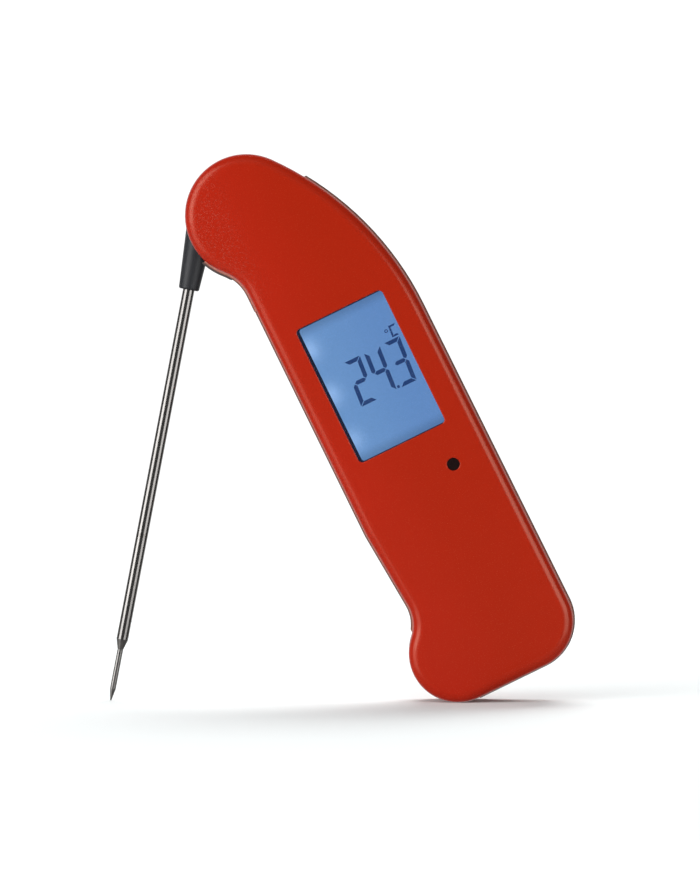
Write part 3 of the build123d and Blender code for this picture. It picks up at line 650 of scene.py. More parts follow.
@dataclass(frozen=True, kw_only=True)
class LitPanel(BacklitFinish):
    """A liquid-crystal panel that a light guide shines through from diodes along one edge.

    Attributes:
        near: The colour along the diodes' edge.
        far: The colour along the opposite edge.
        glow: What a diode adds to the light in front of it.
        diodes: The x of each diode and how bright it is.
        diode_y: The y of the diodes' edge.
        glow_mm: How far a diode's glow reaches along x and y.
        low: The lowest x and y of the lit area.
        high: The highest x and y of the lit area.
        dim_mm: How far from its two ends the guide's light begins to fail.
        dim: The light that is left at the ends.
        mottle_mm: The spacing of its faint mottle.
        mottle: The light in the darkest and in the lightest spots of the mottle.
    """

    MOTTLE_EDGE: ClassVar[Span] = (0.25, 0.75)  # the noise of the darkest and of the lightest spots

    near: str
    far: str
    glow: tuple[float, float, float]
    diodes: tuple[tuple[float, float], ...]
    diode_y: float
    glow_mm: tuple[float, float]
    low: Point
    high: Point
    dim_mm: float = 3.4
    dim: float = 0.72
    mottle_mm: float = 0.4
    mottle: Span = (0.965, 1.035)

    def light(self, tree: NodeTree, place: Node) -> Node:
        """Adds the nodes of the light: paler to one side, with the diodes' glow and two dim ends.

        Args:
            tree: The material's node tree.
            place: The coordinates in the plane's millimetres.

        Returns:
            The light's colour.
        """
        parts = add_node(tree, "ShaderNodeSeparateXYZ", (place,))
        across = add_node(
            tree,
            "ShaderNodeMapRange",
            (parts.outputs["Y"], self.low[1], self.high[1], 0.0, 1.0),
            **SMOOTH,
        )
        light: Feed = add_node(
            tree,
            "ShaderNodeMix",
            {0: across, MIX_FIRST: linear(self.near), MIX_SECOND: linear(self.far)},
            data_type="RGBA",
        ).outputs[MIX_RESULT]
        for x, brightness in self.diodes:
            light = self.with_glow(tree, light, place, x, brightness)
        for end, inward in ((self.low[0], self.dim_mm), (self.high[0], -self.dim_mm)):
            left = add_node(
                tree,
                "ShaderNodeMapRange",
                (parts.outputs["X"], end, end + inward, self.dim, 1.0),
                **SMOOTH,
            )
            light = add_node(tree, "ShaderNodeVectorMath", (light, left), operation="MULTIPLY")
        noise = add_node(
            tree, "ShaderNodeTexNoise", {"Vector": place, "Scale": 1 / self.mottle_mm, "Detail": 2.0}
        )
        shade = add_node(tree, "ShaderNodeMapRange", (noise, *self.MOTTLE_EDGE, *self.mottle), **SMOOTH)
        return add_node(tree, "ShaderNodeVectorMath", (light, shade), operation="MULTIPLY")

    def with_glow(
        self,
        tree: NodeTree,
        light: Feed,
        place: Node,
        x: float,
        brightness: float,
    ) -> Node:
        """Adds the soft bell-shaped glow of one diode.

        Args:
            tree: The material's node tree.
            light: The light so far.
            place: The coordinates in the plane's millimetres.
            x: The diode's x.
            brightness: How much of the full glow it gives.

        Returns:
            The light with the glow.
        """
        away = add_node(
            tree, "ShaderNodeVectorMath", (place, (x, self.diode_y, 0.0)), operation="SUBTRACT"
        )
        shares = add_node(
            tree,
            "ShaderNodeVectorMath",
            (away, (1 / self.glow_mm[0], 1 / self.glow_mm[1], 0.0)),
            operation="MULTIPLY",
        )
        square = add_node(tree, "ShaderNodeVectorMath", (shares, shares), operation="DOT_PRODUCT")
        fall = add_node(tree, "ShaderNodeMath", (square.outputs["Value"], -1.0), operation="MULTIPLY")
        bell = add_node(tree, "ShaderNodeMath", (fall,), operation="EXPONENT")
        amount = tuple(channel * brightness for channel in self.glow)
        return add_node(tree, "ShaderNodeVectorMath", (bell, amount, light), operation="MULTIPLY_ADD")


@dataclass(frozen=True, kw_only=True)
class PanelInk(BacklitFinish):
    """What the panel shows dark.

    Attributes:
        colour: The colour of the light that still comes through.
        roughness: The roughness of its gloss.
        mottle_mm: The spacing of its faint mottle.
        mottle: How much brighter its lightest spots are, as a factor.
    """

    MOTTLE_EDGE: ClassVar[Span] = (0.3, 0.75)  # the noise of the darkest and of the lightest spots

    colour: str
    roughness: float = 0.3
    mottle_mm: float = 0.8333
    mottle: float = 1.15

    def light(self, tree: NodeTree, place: Node) -> Node:
        """Adds the nodes of the little light that comes through, with its mottle.

        Args:
            tree: The material's node tree.
            place: The coordinates in the plane's millimetres.

        Returns:
            The light's colour.
        """
        noise = add_node(
            tree, "ShaderNodeTexNoise", {"Vector": place, "Scale": 1 / self.mottle_mm, "Detail": 2.0}
        )
        dark = linear(self.colour)
        bright = tuple(channel * self.mottle for channel in dark)
        return add_node(
            tree, "ShaderNodeValToRGB", {"Fac": noise}, stops=tuple(zip(self.MOTTLE_EDGE, (dark, bright)))
        )


@dataclass(frozen=True)
class Paper:
    """Studio paper that fades out some way from the object.

    Attributes:
        name: What the material is and how its surface was made.
        colour: Its colour.
        blotch: The spacing of its faint blotches, in metres.
        shade: How light the darkest and the lightest blotches are, as factors.
        roughness: The roughness of its surface.
        fade: How far from the middle it begins to fade and where it is gone, in metres.
    """

    name: str
    colour: str
    blotch: float = 0.3333
    shade: Span = (0.98, 1.0)
    roughness: float = 0.9
    fade: Span = (0.3, 0.5)

    def material(self) -> Material:
        """Makes the material.

        Returns:
            The Blender material.
        """
        made = bpy.data.materials.new(self.name)
        made.use_nodes = True
        tree = made.node_tree
        tree.nodes.clear()
        place = add_node(tree, "ShaderNodeTexCoord").outputs["Object"]
        noise = add_node(tree, "ShaderNodeTexNoise", {"Vector": place, "Scale": 1 / self.blotch})
        shade = add_node(tree, "ShaderNodeMapRange", (noise, 0.0, 1.0, *self.shade))
        tint = add_node(
            tree, "ShaderNodeVectorMath", (shade, linear(self.colour)[:3]), operation="MULTIPLY"
        )
        radius = add_node(tree, "ShaderNodeVectorMath", (place,), operation="LENGTH")
        left = add_node(
            tree, "ShaderNodeMapRange", (radius.outputs["Value"], *self.fade, 1.0, 0.0), **SMOOTH
        )
        surface = add_node(
            tree,
            "ShaderNodeBsdfPrincipled",
            {"Base Color": tint, "Roughness": self.roughness, "Specular IOR Level": 0.0, "Alpha": left},
        )
        add_node(tree, "ShaderNodeOutputMaterial", {"Surface": surface})
        return made


# Acrylonitrile butadiene styrene moulded in a spark-eroded tool: a satin red with a fine sparkle at the
# head. The grain and the pits of such a tool are near 0.1 mm and are drawn coarser, so that they show.
RED_ABS = Moulding(
    "Spark-eroded red ABS",
    "red_abs",
    CASE_PLANE,
    colour="#A51C09",
    cloud="#A01D08",
    cloud_mm=30.0,
    grain_mm=0.25,
    grain_depth=0.006,
    roughness=0.24,
    ior=1.7,
    gloss_tint="#FFDAC0",
    # Painted highlight along the sharp edges.
    edge_highlight="#B8361C",
    # Painted shade: darker towards high y, the side away from the left lights.
    shaded_side="#9B1B03",
    shade_y=(-12.0, 16.0),
    pit_depth=0.038,
    pit_mm=0.37,
    pit_x=(16.0, 30.0),
    pit_y=(-9.0, 4.0),
)
# Thermoplastic elastomer moulded against polished steel: a dull dark line, with painted tan light
# where it meets the red halves, in place of their bounce light and the edges' highlight.
SEAL_ELASTOMER = Moulding(
    "Moulded grey elastomer",
    "seal_elastomer",
    CASE_PLANE,
    colour="#4A403D",
    cloud="#433A38",
    cloud_mm=12.0,
    grain_mm=0.5,
    grain_depth=0.01,
    roughness=0.6,
    # Painted bounce light: tan in the corners beside the red halves.
    bounce_light="#B4705E",
    bounce_light_mm=0.7,
)
# Glass-filled nylon from a satin tool: near black, with a broad soft sheen along the cone.
HUB_NYLON = Moulding(
    "Satin glass-filled nylon",
    "dark_nylon",
    PROBE_PLANE,
    colour="#232427",
    cloud="#292A2D",
    cloud_mm=6.0,
    grain_mm=0.25,
    grain_depth=0.012,
    roughness=0.42,
    # Painted highlight along the sharp edges.
    edge_highlight="#4A4B4E",
)
# Stainless tube, drawn and then polished: long clean reflections with fine lines along the tube. The
# lines are some hundredths of a millimetre wide and are drawn coarser, so that they show.
DRAWN_STAINLESS = Metal(
    "Drawn and polished stainless steel",
    "stainless_tube",
    PROBE_PLANE,
    colour="#B4B1AE",
    tarnish="#9D9A97",
    streak_mm=(40.0, 0.5, 0.5),
    streak_depth=0.0004,
    roughness=0.19,
    dulling=0.06,
    weld_x=86.1,
    rougher=((112.9, 0.28), (115.8, -0.22), (124.8, 0.12)),
)
# Cast acrylic, polished: as clear as glass, with the faintest waves in its gloss.
WINDOW_ACRYLIC = ClearPlastic("Polished clear acrylic", "clear_acrylic", CASE_PLANE)
# Nitrile foam, die cut: matt black with open pores.
GASKET_FOAM = Moulding(
    "Die-cut nitrile foam",
    "black_foam",
    CASE_PLANE,
    colour="#141416",
    cloud="#1B1B1D",
    grain_mm=0.3,
    grain_depth=0.08,
    roughness=0.9,
)
# Nitrile rubber rings: black, with a low sheen.
RING_NITRILE = Moulding(
    "Moulded nitrile rubber",
    "black_nitrile",
    CASE_PLANE,
    colour="#161617",
    cloud="#1E1E20",
    grain_mm=0.4,
    grain_depth=0.01,
    roughness=0.5,
)
# White ABS, satin: the frame that throws the light back into the panel.
FRAME_ABS = Moulding(
    "Satin white ABS",
    "white_abs",
    CASE_PLANE,
    colour="#E2E1DC",
    cloud="#DAD8D2",
    roughness=0.5,
)
# Acetal, slick from the mould: white with a waxy sheen.
WASHER_ACETAL = Moulding(
    "Slick moulded acetal",
    "white_acetal",
    CASE_PLANE,
    colour="#E6E5E0",
    cloud="#DEDCD6",
    grain_depth=0.004,
    roughness=0.3,
)
# Polycarbonate light guide, frosted on its back: a milky pale blue sheet.
GUIDE_POLYCARBONATE = Moulding(
    "Frosted polycarbonate",
    "light_guide",
    CASE_PLANE,
    colour="#DCE6F0",
    cloud="#D0DEEC",
    roughness=0.35,
)
# Diode packages, moulded: cream plastic with a low gloss.
DIODE_PACKAGE = Moulding(
    "Moulded diode package",
    "led_package",
    CASE_PLANE,
    colour="#E8E4C8",
    cloud="#DDD8B8",
    roughness=0.3,
)
# Striped silicone strip that joins the panel to the board: dull pink.
STRIP_SILICONE = Moulding(
    "Striped conductive silicone",
    "strip_silicone",
    CASE_PLANE,
    colour="#B08A88",
    cloud="#8E6664",
    cloud_mm=0.8,
    roughness=0.7,
)
# Infrared-black polycarbonate, polished: a deep brown-black dot with a small clear gloss.
SENSOR_FILTER = Moulding(
    "Polished dark polycarbonate",
    "dark_lens",
    CASE_PLANE,
    colour="#170B0B",
    cloud="#1F0F0D",
    grain_depth=0.001,
    roughness=0.18,
)
# Glass-epoxy laminate under green solder resist: glossy, with the copper's faint shapes.
BOARD_LAMINATE = Moulding(
    "Solder-resist glass epoxy",
    "board_laminate",
    CASE_PLANE,
    colour="#1B5E38",
    cloud="#23744A",
    cloud_mm=1.6,
    grain_mm=0.8,
    grain_depth=0.02,
    roughness=0.3,
)
# Transfer-moulded epoxy packages: dead matt black.
CHIP_EPOXY = Moulding(
    "Transfer-moulded epoxy",
    "chip_epoxy",
    CASE_PLANE,
    colour="#1B1B1C",
    cloud="#242425",
    grain_mm=0.15,
    roughness=0.65,
)
# Shrink sleeve on a steel can: glossy deep blue.
BATTERY_SLEEVE = Moulding(
    "Printed shrink sleeve",
    "battery_jacket",
    CASE_PLANE,
    colour="#1E3F78",
    cloud="#1A3566",
    grain_depth=0.004,
    roughness=0.25,
)
# Nickel-plated spring steel: bright with a warm cast.
NICKEL_STRIP = Metal(
    "Nickel-plated spring steel",
    "nickel_strip",
    CASE_PLANE,
    colour="#C8C2B6",
    tarnish="#A8A297",
    roughness=0.22,
)
# Brass turned on a lathe: a warm yellow gleam.
INSERT_BRASS = Metal(
    "Turned brass",
    "turned_brass",
    CASE_PLANE,
    colour="#D8B46A",
    tarnish="#B8924C",
    roughness=0.25,
)
# Zinc-plated machine screws: a soft blue-grey gleam with dull patches.
SCREW_ZINC = Metal(
    "Zinc-plated steel",
    "screw_steel",
    CASE_PLANE,
    colour="#A9ABAE",
    tarnish="#84868A",
    streak_mm=(0.6, 0.6, 0.6),
    roughness=0.28,
    dulling=0.2,
)
# Neodymium disc, plated with nickel: a bright plain grey.
MAGNET_NICKEL = Metal(
    "Nickel-plated magnet",
    "nickel_magnet",
    PROBE_PLANE,
    colour="#C2C2C0",
    tarnish="#A4A4A2",
    roughness=0.15,
)
# Thermocouple alloy, drawn to wire: a dull straw grey.
SENSOR_WIRE = Metal(
    "Drawn thermocouple alloy",
    "sensor_alloy",
    PROBE_PLANE,
    colour="#B0A596",
    tarnish="#8E8476",
    roughness=0.3,
)
# The panel's segments, dark when they are driven: a deep blue that still lets a little light through.
LCD_INK = PanelInk("Lit liquid-crystal ink", "lcd_glass", CASE_PLANE, colour="#1E3C70")
# Screen-printed mask round the lit area: near black.
BORDER_INK = PanelInk("Printed panel border", "lcd_glass", CASE_PLANE, colour="#0E1A30")
# Uncoated paper off the roll: a flat cool white with no shine.
STUDIO_PAPER = Paper("Seamless white paper", "#EBEFEF")


# ==== meshes ====


def finished(name: str, mesh: bmesh.types.BMesh) -> Object:
    """Turns a bmesh into an object in the scene, with its faces' normals outward.

    Args:
        name: The object's name.
        mesh: The bmesh, which is freed.

    Returns:
        The new object.
    """
    bmesh.ops.recalc_face_normals(mesh, faces=mesh.faces)
    data = bpy.data.meshes.new(name)
    mesh.to_mesh(data)
    mesh.free()
    piece = bpy.data.objects.new(name, data)
    bpy.context.scene.collection.objects.link(piece)
    return piece


def prism(name: str, outlines: Iterable[Outline], layer: Span, plane: LocalPlane) -> Object:
    """Makes one mesh of upright prisms.

    Args:
        name: The piece's name.
        outlines: The corners of each prism in the plane, anticlockwise, in millimetres.
        layer: The z of the lower faces and of the upper ones.
        plane: The frame that the outlines lie in.

    Returns:
        The new object.
    """
    mesh = bmesh.new()
    for outline in outlines:
        low, high = ([mesh.verts.new(plane.point(x, y, z)) for x, y in outline] for z in layer)
        mesh.faces.new(reversed(low))
        mesh.faces.new(high)
        for i in range(len(low)):
            j = (i + 1) % len(low)
            mesh.faces.new((low[i], low[j], high[j], high[i]))
    return finished(name, mesh)


def band(name: str, inner: Outline, outer: Outline, layer: Span, plane: LocalPlane) -> Object:
    """Makes the mesh of a flat closed band between two rings of as many points.

    Args:
        name: The piece's name.
        inner: The inner ring in the plane, anticlockwise, in millimetres.
        outer: The outer ring.
        layer: The z of the lower faces and of the upper ones.
        plane: The frame that the rings lie in.

    Returns:
        The new object.
    """
    mesh = bmesh.new()
    bottom, top = layer
    loops = [
        [mesh.verts.new(plane.point(x, y, z)) for x, y in ring]
        for ring, z in ((inner, bottom), (outer, bottom), (outer, top), (inner, top))
    ]
    for k, loop in enumerate(loops):
        following = loops[(k + 1) % len(loops)]
        for i in range(len(loop)):
            j = (i + 1) % len(loop)
            mesh.faces.new((loop[i], loop[j], following[j], following[i]))
    return finished(name, mesh)


def add_piece(piece: Object, body: str, finish: Finish) -> None:
    """Gives a new piece its finish and the body that it rides on.

    Args:
        piece: The new piece.
        body: The body's name.
        finish: The piece's finish.
    """
    piece.data.materials.append(finish.material())
    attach(piece, body)
    log.info("%s: %s, on %s", piece.name, finish.name, body)


def circle(middle: Point, radius: float, count: int) -> list[Point]:
    """The points of a circle, anticlockwise.

    Args:
        middle: The middle's x and y.
        radius: The radius.
        count: How many points there are.

    Returns:
        The points.
    """
    angles = (math.tau * k / count for k in range(count))
    return [(middle[0] + radius * math.cos(a), middle[1] + radius * math.sin(a)) for a in angles]


def rounded_rectangle(low: Point, high: Point, radius: float, steps: int = 8) -> list[Point]:
    """The points of a rectangle with round corners, anticlockwise.

    Args:
        low: The lowest x and y.
        high: The highest x and y.
        radius: The corners' radius.
        steps: The points on a corner, less one.

    Returns:
        The points.
    """
    centres = (
        (high[0] - radius, high[1] - radius),
        (low[0] + radius, high[1] - radius),
        (low[0] + radius, low[1] + radius),
        (high[0] - radius, low[1] + radius),
    )
    points = []
    for corner, (x, y) in enumerate(centres):
        for step in range(steps + 1):
            angle = math.pi / 2 * (corner + step / steps)
            points.append((x + radius * math.cos(angle), y + radius * math.sin(angle)))
    return points


def inset(outline: Outline, distance: float) -> list[Point]:
    """A convex outline with its edges moved inward.

    Args:
        outline: The corners, anticlockwise.
        distance: How far each edge moves.

    Returns:
        The new corners.
    """
    moved = []
    for i, here in enumerate(outline):
        before = Vector(here) - Vector(outline[i - 1])
        after = Vector(outline[(i + 1) % len(outline)]) - Vector(here)
        inward = [Vector((-edge.y, edge.x)).normalized() for edge in (before, after)]
        middle = (inward[0] + inward[1]).normalized()
        corner = Vector(here) + middle * (distance / middle.dot(inward[0]))
        moved.append((corner.x, corner.y))
    return moved


# ==== sub-assemblies ====


class Bar(Enum):
    """The bars of a seven-bar digit, clockwise from the top, with the middle one last."""

    TOP = "a"
    TOP_RIGHT = "b"
    LOW_RIGHT = "c"
    LOW = "d"
    LOW_LEFT = "e"
    TOP_LEFT = "f"
    MIDDLE = "g"


DIGIT_BARS = {
    "2": (Bar.TOP, Bar.TOP_RIGHT, Bar.MIDDLE, Bar.LOW_LEFT, Bar.LOW),
    "3": (Bar.TOP, Bar.TOP_RIGHT, Bar.MIDDLE, Bar.LOW_RIGHT, Bar.LOW),
    "4": (Bar.TOP_LEFT, Bar.MIDDLE, Bar.TOP_RIGHT, Bar.LOW_RIGHT),
    "C": (Bar.TOP, Bar.TOP_LEFT, Bar.LOW_LEFT, Bar.LOW),
}


@dataclass(frozen=True, kw_only=True)
class DigitStyle:
    """The sizes of a seven-bar digit, in millimetres.

    Attributes:
        width: From the middle of the left bars to the middle of the right ones.
        height: From the middle of the lowest bar to the middle of the top one.
        upright: The thickness of an upright bar.
        level: The thickness of a level bar.
        gap: The gap between two bars.
        slant: How far the digit leans to the right, for each unit of height.
    """

    width: float
    height: float
    upright: float
    level: float
    gap: float
    slant: float

    def bar(self, bar: Bar) -> list[Point]:
        """Draws one bar, with x to the right and y up from the low left corner.

        Args:
            bar: Which bar it is.

        Returns:
            The bar's corners, anticlockwise.
        """
        side, half = self.upright / 2, self.level / 2
        right, top, middle = self.width, self.height, self.height / 2
        corners = {
            Bar.TOP: [
                (-side, top + half),
                (self.level - side, top - half),
                (right + side - self.level, top - half),
                (right + side, top + half),
            ],
            Bar.MIDDLE: [
                (0, middle),
                (side, middle - half),
                (right - side, middle - half),
                (right, middle),
                (right - side, middle + half),
                (side, middle + half),
            ],
            Bar.TOP_LEFT: [
                (-side, top + half),
                (-side, middle + half),
                (0, middle),
                (side, middle + half),
                (side, top + half - self.upright),
            ],
        }
        if bar in corners:
            return inset(corners[bar], self.gap / 2)
        if bar is Bar.LOW:
            return [(x, top - y) for x, y in reversed(self.bar(Bar.TOP))]
        if bar is Bar.LOW_LEFT:
            return [(x, top - y) for x, y in reversed(self.bar(Bar.TOP_LEFT))]
        if bar is Bar.TOP_RIGHT:
            return [(right - x, y) for x, y in reversed(self.bar(Bar.TOP_LEFT))]
        return [(right - x, y) for x, y in reversed(self.bar(Bar.LOW_LEFT))]

    def character(self, character: str, place: Point) -> list[list[Point]]:
        """Draws a character on the panel, where up is towards the head and right is along y.

        Args:
            character: A key of DIGIT_BARS.
            place: The x of the middle of its lowest bar, and the y of the middle of its left bars.

        Returns:
            The corners of each bar.
        """
        x, y = place
        bars = (self.bar(bar) for bar in DIGIT_BARS[character])
        return [[(x - up, y + across + up * self.slant) for across, up in bar] for bar in bars]


@dataclass
class Case:
    """The two halves of the case, the seal between them and what holds them together.

    Attributes:
        kept_from_gloss: The nodes that are hidden from every reflection, so that the tubes don't show
            them.
    """

    kept_from_gloss: tuple[str, ...] = ("front_case", "rear_case", "case_seal")

    def dress(self) -> None:
        """Gives each node its finish."""
        RED_ABS.put_on("front_case", "rear_case", "battery_cover")
        SEAL_ELASTOMER.put_on("case_seal")
        SCREW_ZINC.put_on("case_screws", "battery_cover_screw", "board_screws")
        INSERT_BRASS.put_on("cover_screw_insert")
        WASHER_ACETAL.put_on("pivot_washers")
        RING_NITRILE.put_on("battery_cover_seal")
        for name in self.kept_from_gloss:
            frame["nodes"][name].visible_glossy = False


@dataclass
class Display:
    """The window, the lit panel behind it and the reading on the panel, in millimetres.

    Attributes:
        window: The lowest and the highest x and y of the window's opening.
        reading: The digits, in order.
        reading_place: The x of the digits' lowest bars, and the y of the first digit's left bars.
        pitch: From one digit to the next.
        style: The digits' sizes.
        point_place: The x and y of the decimal point.
        point_size: The side of the decimal point.
        unit: The unit's letter.
        unit_place: The x of the letter's lowest bar, and the y of its left bars.
        unit_style: The letter's sizes.
        ring_place: The x and y of the middle of the degree ring.
        ring_radii: The inner and the outer radius of the degree ring.
        ring_points: How many points the degree ring has.
        border: How far the dark border shows at the window's head, tail, left and right.
        border_radius: The radius of the border's inner corners.
        border_overlap: How far the border runs on behind the case.
        border_corner: The radius of the border's outer corners.
        ink: The thickness of what is printed.
        diodes: The x of each diode's glow and how bright it is.
        diode_inset: From the window's left edge to the middle of the glow.
    """

    window: tuple[Point, Point] = ((32.0, -1.7), (69.7, 22.6))
    reading: str = "243"
    reading_place: Point = (56.3, 5.5)
    pitch: float = 5.65
    style: DigitStyle = DigitStyle(width=3.35, height=11.0, upright=1.3, level=1.25, gap=0.2, slant=0.078)
    point_place: Point = (56.3, 15.7)
    point_size: float = 0.7
    unit: str = "C"
    unit_place: Point = (44.1, 20.1)
    unit_style: DigitStyle = DigitStyle(
        width=1.35, height=2.6, upright=0.38, level=0.38, gap=-0.12, slant=0.078
    )
    ring_place: Point = (42.2, 19.1)
    ring_radii: Span = (0.24, 0.47)
    ring_points: int = 24
    border: tuple[float, float, float, float] = (0.22, 0.2, 0.78, 0.0)
    border_radius: float = 0.72
    border_overlap: float = 0.8
    border_corner: float = 0.2
    ink: float = 0.03
    diodes: tuple[tuple[float, float], ...] = ((38.0, 1.0), (50.8, 0.95), (63.5, 0.75))
    diode_inset: float = 0.8

    def build(self) -> None:
        """Makes what is printed on the panel's face."""
        face = -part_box("lcd_panel")[0].y / MM
        layer = (face, face + self.ink)
        self.build_digits(layer)
        rings = (circle(self.ring_place, radius, self.ring_points) for radius in self.ring_radii)
        add_piece(band("display_degree_ring", *rings, layer, CASE_PLANE), CASE, LCD_INK)
        self.build_border(layer)

    def build_digits(self, layer: Span) -> None:
        """Makes the reading with its decimal point, and the unit's letter.

        Args:
            layer: The z of the ink's lower and upper faces.
        """
        outlines = []
        x, y = self.reading_place
        for number, digit in enumerate(self.reading):
            outlines += self.style.character(digit, (x, y + number * self.pitch))
        outlines += self.unit_style.character(self.unit, self.unit_place)
        half = self.point_size / 2
        x, y = self.point_place
        outlines.append(rounded_rectangle((x - half, y - half), (x + half, y + half), half / 2))
        add_piece(prism("display_digits", outlines, layer, CASE_PLANE), CASE, LCD_INK)

    def build_border(self, layer: Span) -> None:
        """Makes the dark border that frames the lit area.

        Args:
            layer: The z of the ink's lower and upper faces.
        """
        (low_x, low_y), (high_x, high_y) = self.window
        head, tail, left, right = self.border
        over = self.border_overlap
        inner = rounded_rectangle(
            (low_x + head, low_y + left), (high_x - tail, high_y - right), self.border_radius
        )
        outer = rounded_rectangle(
            (low_x - over, low_y - over), (high_x + over, high_y + over), self.border_corner
        )
        add_piece(band("display_border", inner, outer, layer, CASE_PLANE), CASE, BORDER_INK)

    def dress(self) -> None:
        """Gives each node its finish."""
        low, high = self.window
        # Liquid-crystal glass over a light guide: a soft even blue that glows paler by each diode.
        panel = LitPanel(
            "Lit liquid-crystal panel",
            "lcd_glass",
            CASE_PLANE,
            near="#709BCF",
            far="#6690C8",
            glow=(0.16, 0.2, 0.26),
            diodes=self.diodes,
            diode_y=low[1] + self.diode_inset,
            glow_mm=(2.9, 2.7),
            low=low,
            high=high,
            roughness=0.25,
        )
        panel.put_on("lcd_panel")
        WINDOW_ACRYLIC.put_on("display_window")
        GASKET_FOAM.put_on("window_gasket")
        FRAME_ABS.put_on("lcd_frame")
        GUIDE_POLYCARBONATE.put_on("backlight")
        DIODE_PACKAGE.put_on("backlight_leds")
        STRIP_SILICONE.put_on("contact_strip")
        SENSOR_FILTER.put_on("light_sensor_lens")


@dataclass
class Electronics:
    """The circuit board and what stands on it, and the battery with its contacts."""

    def dress(self) -> None:
        """Gives each node its finish."""
        BOARD_LAMINATE.put_on("circuit_board")
        CHIP_EPOXY.put_on("controller_chip", "converter_chip", "motion_sensor", "fold_switch")
        SENSOR_FILTER.put_on("light_sensor_chip")
        BATTERY_SLEEVE.put_on("battery")
        NICKEL_STRIP.put_on("battery_contact", "battery_spring")


@dataclass
class Probe:
    """The hub, the sleeve and the steel tubes that fold round the pivot."""

    def dress(self) -> None:
        """Gives each node its finish."""
        HUB_NYLON.put_on("probe_hub")
        RING_NITRILE.put_on("pivot_seals")
        MAGNET_NICKEL.put_on("fold_magnet")
        DRAWN_STAINLESS.put_on("probe_stem", "probe_tip")
        SENSOR_WIRE.put_on("thermocouple_wires", "thermocouple_bead")


# ==== studio ====


@dataclass(frozen=True)
class SoftBox:
    """A rectangular soft light that faces the object.

    Attributes:
        name: The light's name.
        place: Where it hangs, in metres.
        size: Its width and height, in metres.
        power: Its power, in watts.
        glossy: Whether it shows in reflections.
        shadow: Whether what it lights casts a shadow.
    """

    name: str
    place: tuple[float, float, float]
    size: tuple[float, float]
    power: float
    glossy: bool = True
    shadow: bool = True

    def build(self, target: Vector) -> None:
        """Hangs the light.

        Args:
            target: What it is turned to.
        """
        data = bpy.data.lights.new(self.name, "AREA")
        data.shape = "RECTANGLE"
        data.size, data.size_y = self.size
        data.energy = self.power
        data.use_shadow = self.shadow
        lamp = bpy.data.objects.new(self.name, data)
        lamp.location = self.place
        lamp.visible_glossy = self.glossy
        lamp.rotation_euler = (target - lamp.location).to_track_quat("-Z", "Y").to_euler()
        bpy.context.scene.collection.objects.link(lamp)


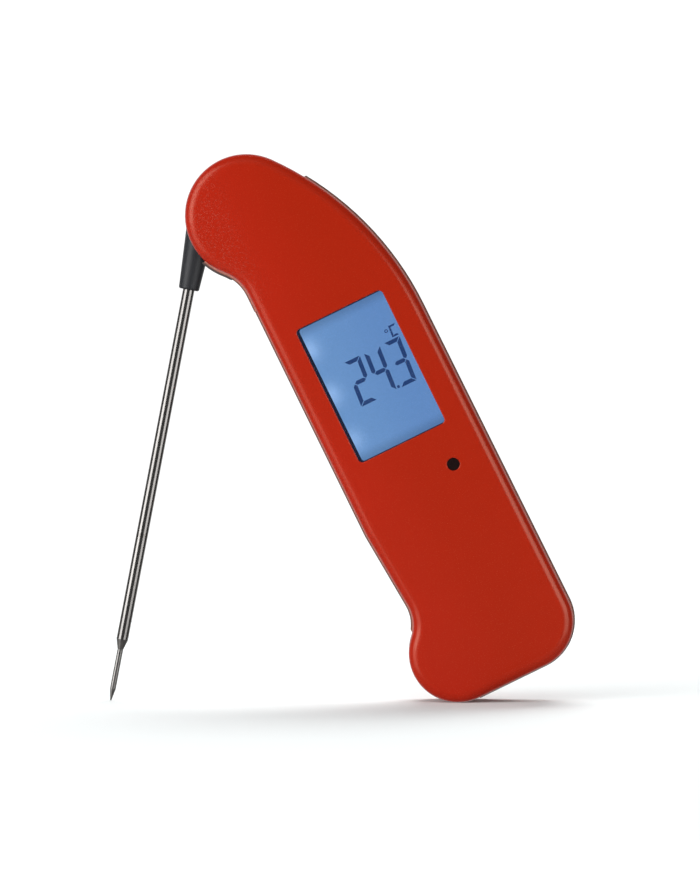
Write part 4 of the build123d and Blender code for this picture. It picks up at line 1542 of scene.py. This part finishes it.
@dataclass
class Studio:
    """The floor, the lights and the camera.

    Attributes:
        azimuth: The camera's turn to the right, in degrees.
        elevation: The camera's height above the target, in degrees.
        distance: From the target to the camera, in metres.
        target: What the middle of the picture shows, in metres.
        mm_per_pixel: The size of a pixel at the target.
        picture_height: The picture's height, in pixels.
        seen_light: How bright the room is where it is seen.
        room_light: How bright the room is for what it lights.
        room_gloss: How bright the room's near walls are in a reflection.
        wall_gloss: How bright its far wall is in a reflection.
        wall_edge: The y of a direction where the far wall begins and where it is full.
        boxes: The soft lights.
    """

    azimuth: float = 0.9
    elevation: float = 0.95
    distance: float = 1.3
    target: Vector = Vector((0.00198, 0.0, 0.06839))
    mm_per_pixel: float = 0.2568
    picture_height: int = 869
    seen_light: float = 1.1
    room_light: float = 0.2
    room_gloss: float = 0.06
    wall_gloss: float = 0.6
    wall_edge: Span = (0.45, 0.8)
    boxes: tuple[SoftBox, ...] = (
        SoftBox("left_box", place=(-0.728, -0.529, 0.41), size=(0.69, 0.9), power=4.32),
        SoftBox("left_low_box", place=(-0.728, -0.529, -0.2), size=(0.69, 0.3), power=0.65),
        SoftBox("right_box", place=(0.73, -0.66, 0.3), size=(0.74, 0.36), power=1.8, shadow=False),
        SoftBox("right_low_box", place=(0.73, -0.66, -0.06), size=(0.74, 0.36), power=1.13, shadow=False),
        SoftBox("front_left", place=(-0.8, -1.0, 0.25), size=(0.8, 0.5), power=8.6, glossy=False),
        SoftBox("front_top", place=(-0.15, -0.8, 1.0), size=(1.0, 1.0), power=3.5, glossy=False),
        SoftBox("back_top", place=(0.1, 0.65, 0.9), size=(0.8, 0.8), power=12.0, glossy=False),
    )

    def build(self) -> None:
        """Sets up the floor, the background, the lights and the camera."""
        self.build_floor()
        self.build_background()
        for box in self.boxes:
            box.build(self.target)
        self.build_camera()
        bpy.context.scene.view_settings.view_transform = "Standard"

    def build_floor(self) -> None:
        """Lays a plain pale floor that everything stands on, as far as its paper reaches."""
        half = STUDIO_PAPER.fade[1]
        corners = ((-half, -half), (half, -half), (half, half), (-half, half))
        mesh = bmesh.new()
        mesh.faces.new([mesh.verts.new((x, y, 0.0)) for x, y in corners])
        floor = finished("floor", mesh)
        floor.data.materials.append(STUDIO_PAPER.material())
        floor.visible_glossy = False
        floor.visible_shadow = False

    def build_background(self) -> None:
        """Makes a room that is seen white, lights evenly and is dark in gloss but for its far wall."""
        world = bpy.data.worlds.new("Studio")
        bpy.context.scene.world = world
        world.use_nodes = True
        tree = world.node_tree
        tree.nodes.clear()
        path = add_node(tree, "ShaderNodeLightPath")
        direction = add_node(tree, "ShaderNodeTexCoord").outputs["Generated"]
        depth = add_node(tree, "ShaderNodeSeparateXYZ", (direction,)).outputs["Y"]
        far_wall = add_node(
            tree, "ShaderNodeMapRange", (depth, *self.wall_edge, self.room_gloss, self.wall_gloss)
        )
        gloss, lit, seen = (
            add_node(tree, "ShaderNodeBackground", {"Color": WHITE, "Strength": strength})
            for strength in (far_wall, self.room_light, self.seen_light)
        )
        unseen = add_node(tree, "ShaderNodeMixShader", (path.outputs["Is Diffuse Ray"], gloss, lit))
        room = add_node(tree, "ShaderNodeMixShader", (path.outputs["Is Camera Ray"], unseen, seen))
        add_node(tree, "ShaderNodeOutputWorld", {"Surface": room})

    def build_camera(self) -> None:
        """Places the camera, with the lens that gives the picture its scale."""
        data = bpy.data.cameras.new("camera")
        picture = self.mm_per_pixel * MM * self.picture_height
        data.lens = data.sensor_width * self.distance / picture
        camera = bpy.data.objects.new("camera", data)
        azimuth, elevation = math.radians(self.azimuth), math.radians(self.elevation)
        back = Vector(
            (
                math.sin(azimuth) * math.cos(elevation),
                -math.cos(azimuth) * math.cos(elevation),
                math.sin(elevation),
            )
        )
        camera.location = self.target + back * self.distance
        camera.rotation_euler = (-back).to_track_quat("-Z", "Y").to_euler()
        bpy.context.scene.collection.objects.link(camera)
        bpy.context.scene.camera = camera


def main() -> None:
    """Builds and dresses each sub-assembly, and then the studio."""
    logging.basicConfig(level=logging.INFO, format="%(name)s: %(message)s")
    Case().dress()
    display = Display()
    display.build()
    display.dress()
    Electronics().dress()
    Probe().dress()
    Studio().build()


if __name__ == "__main__":
    main()
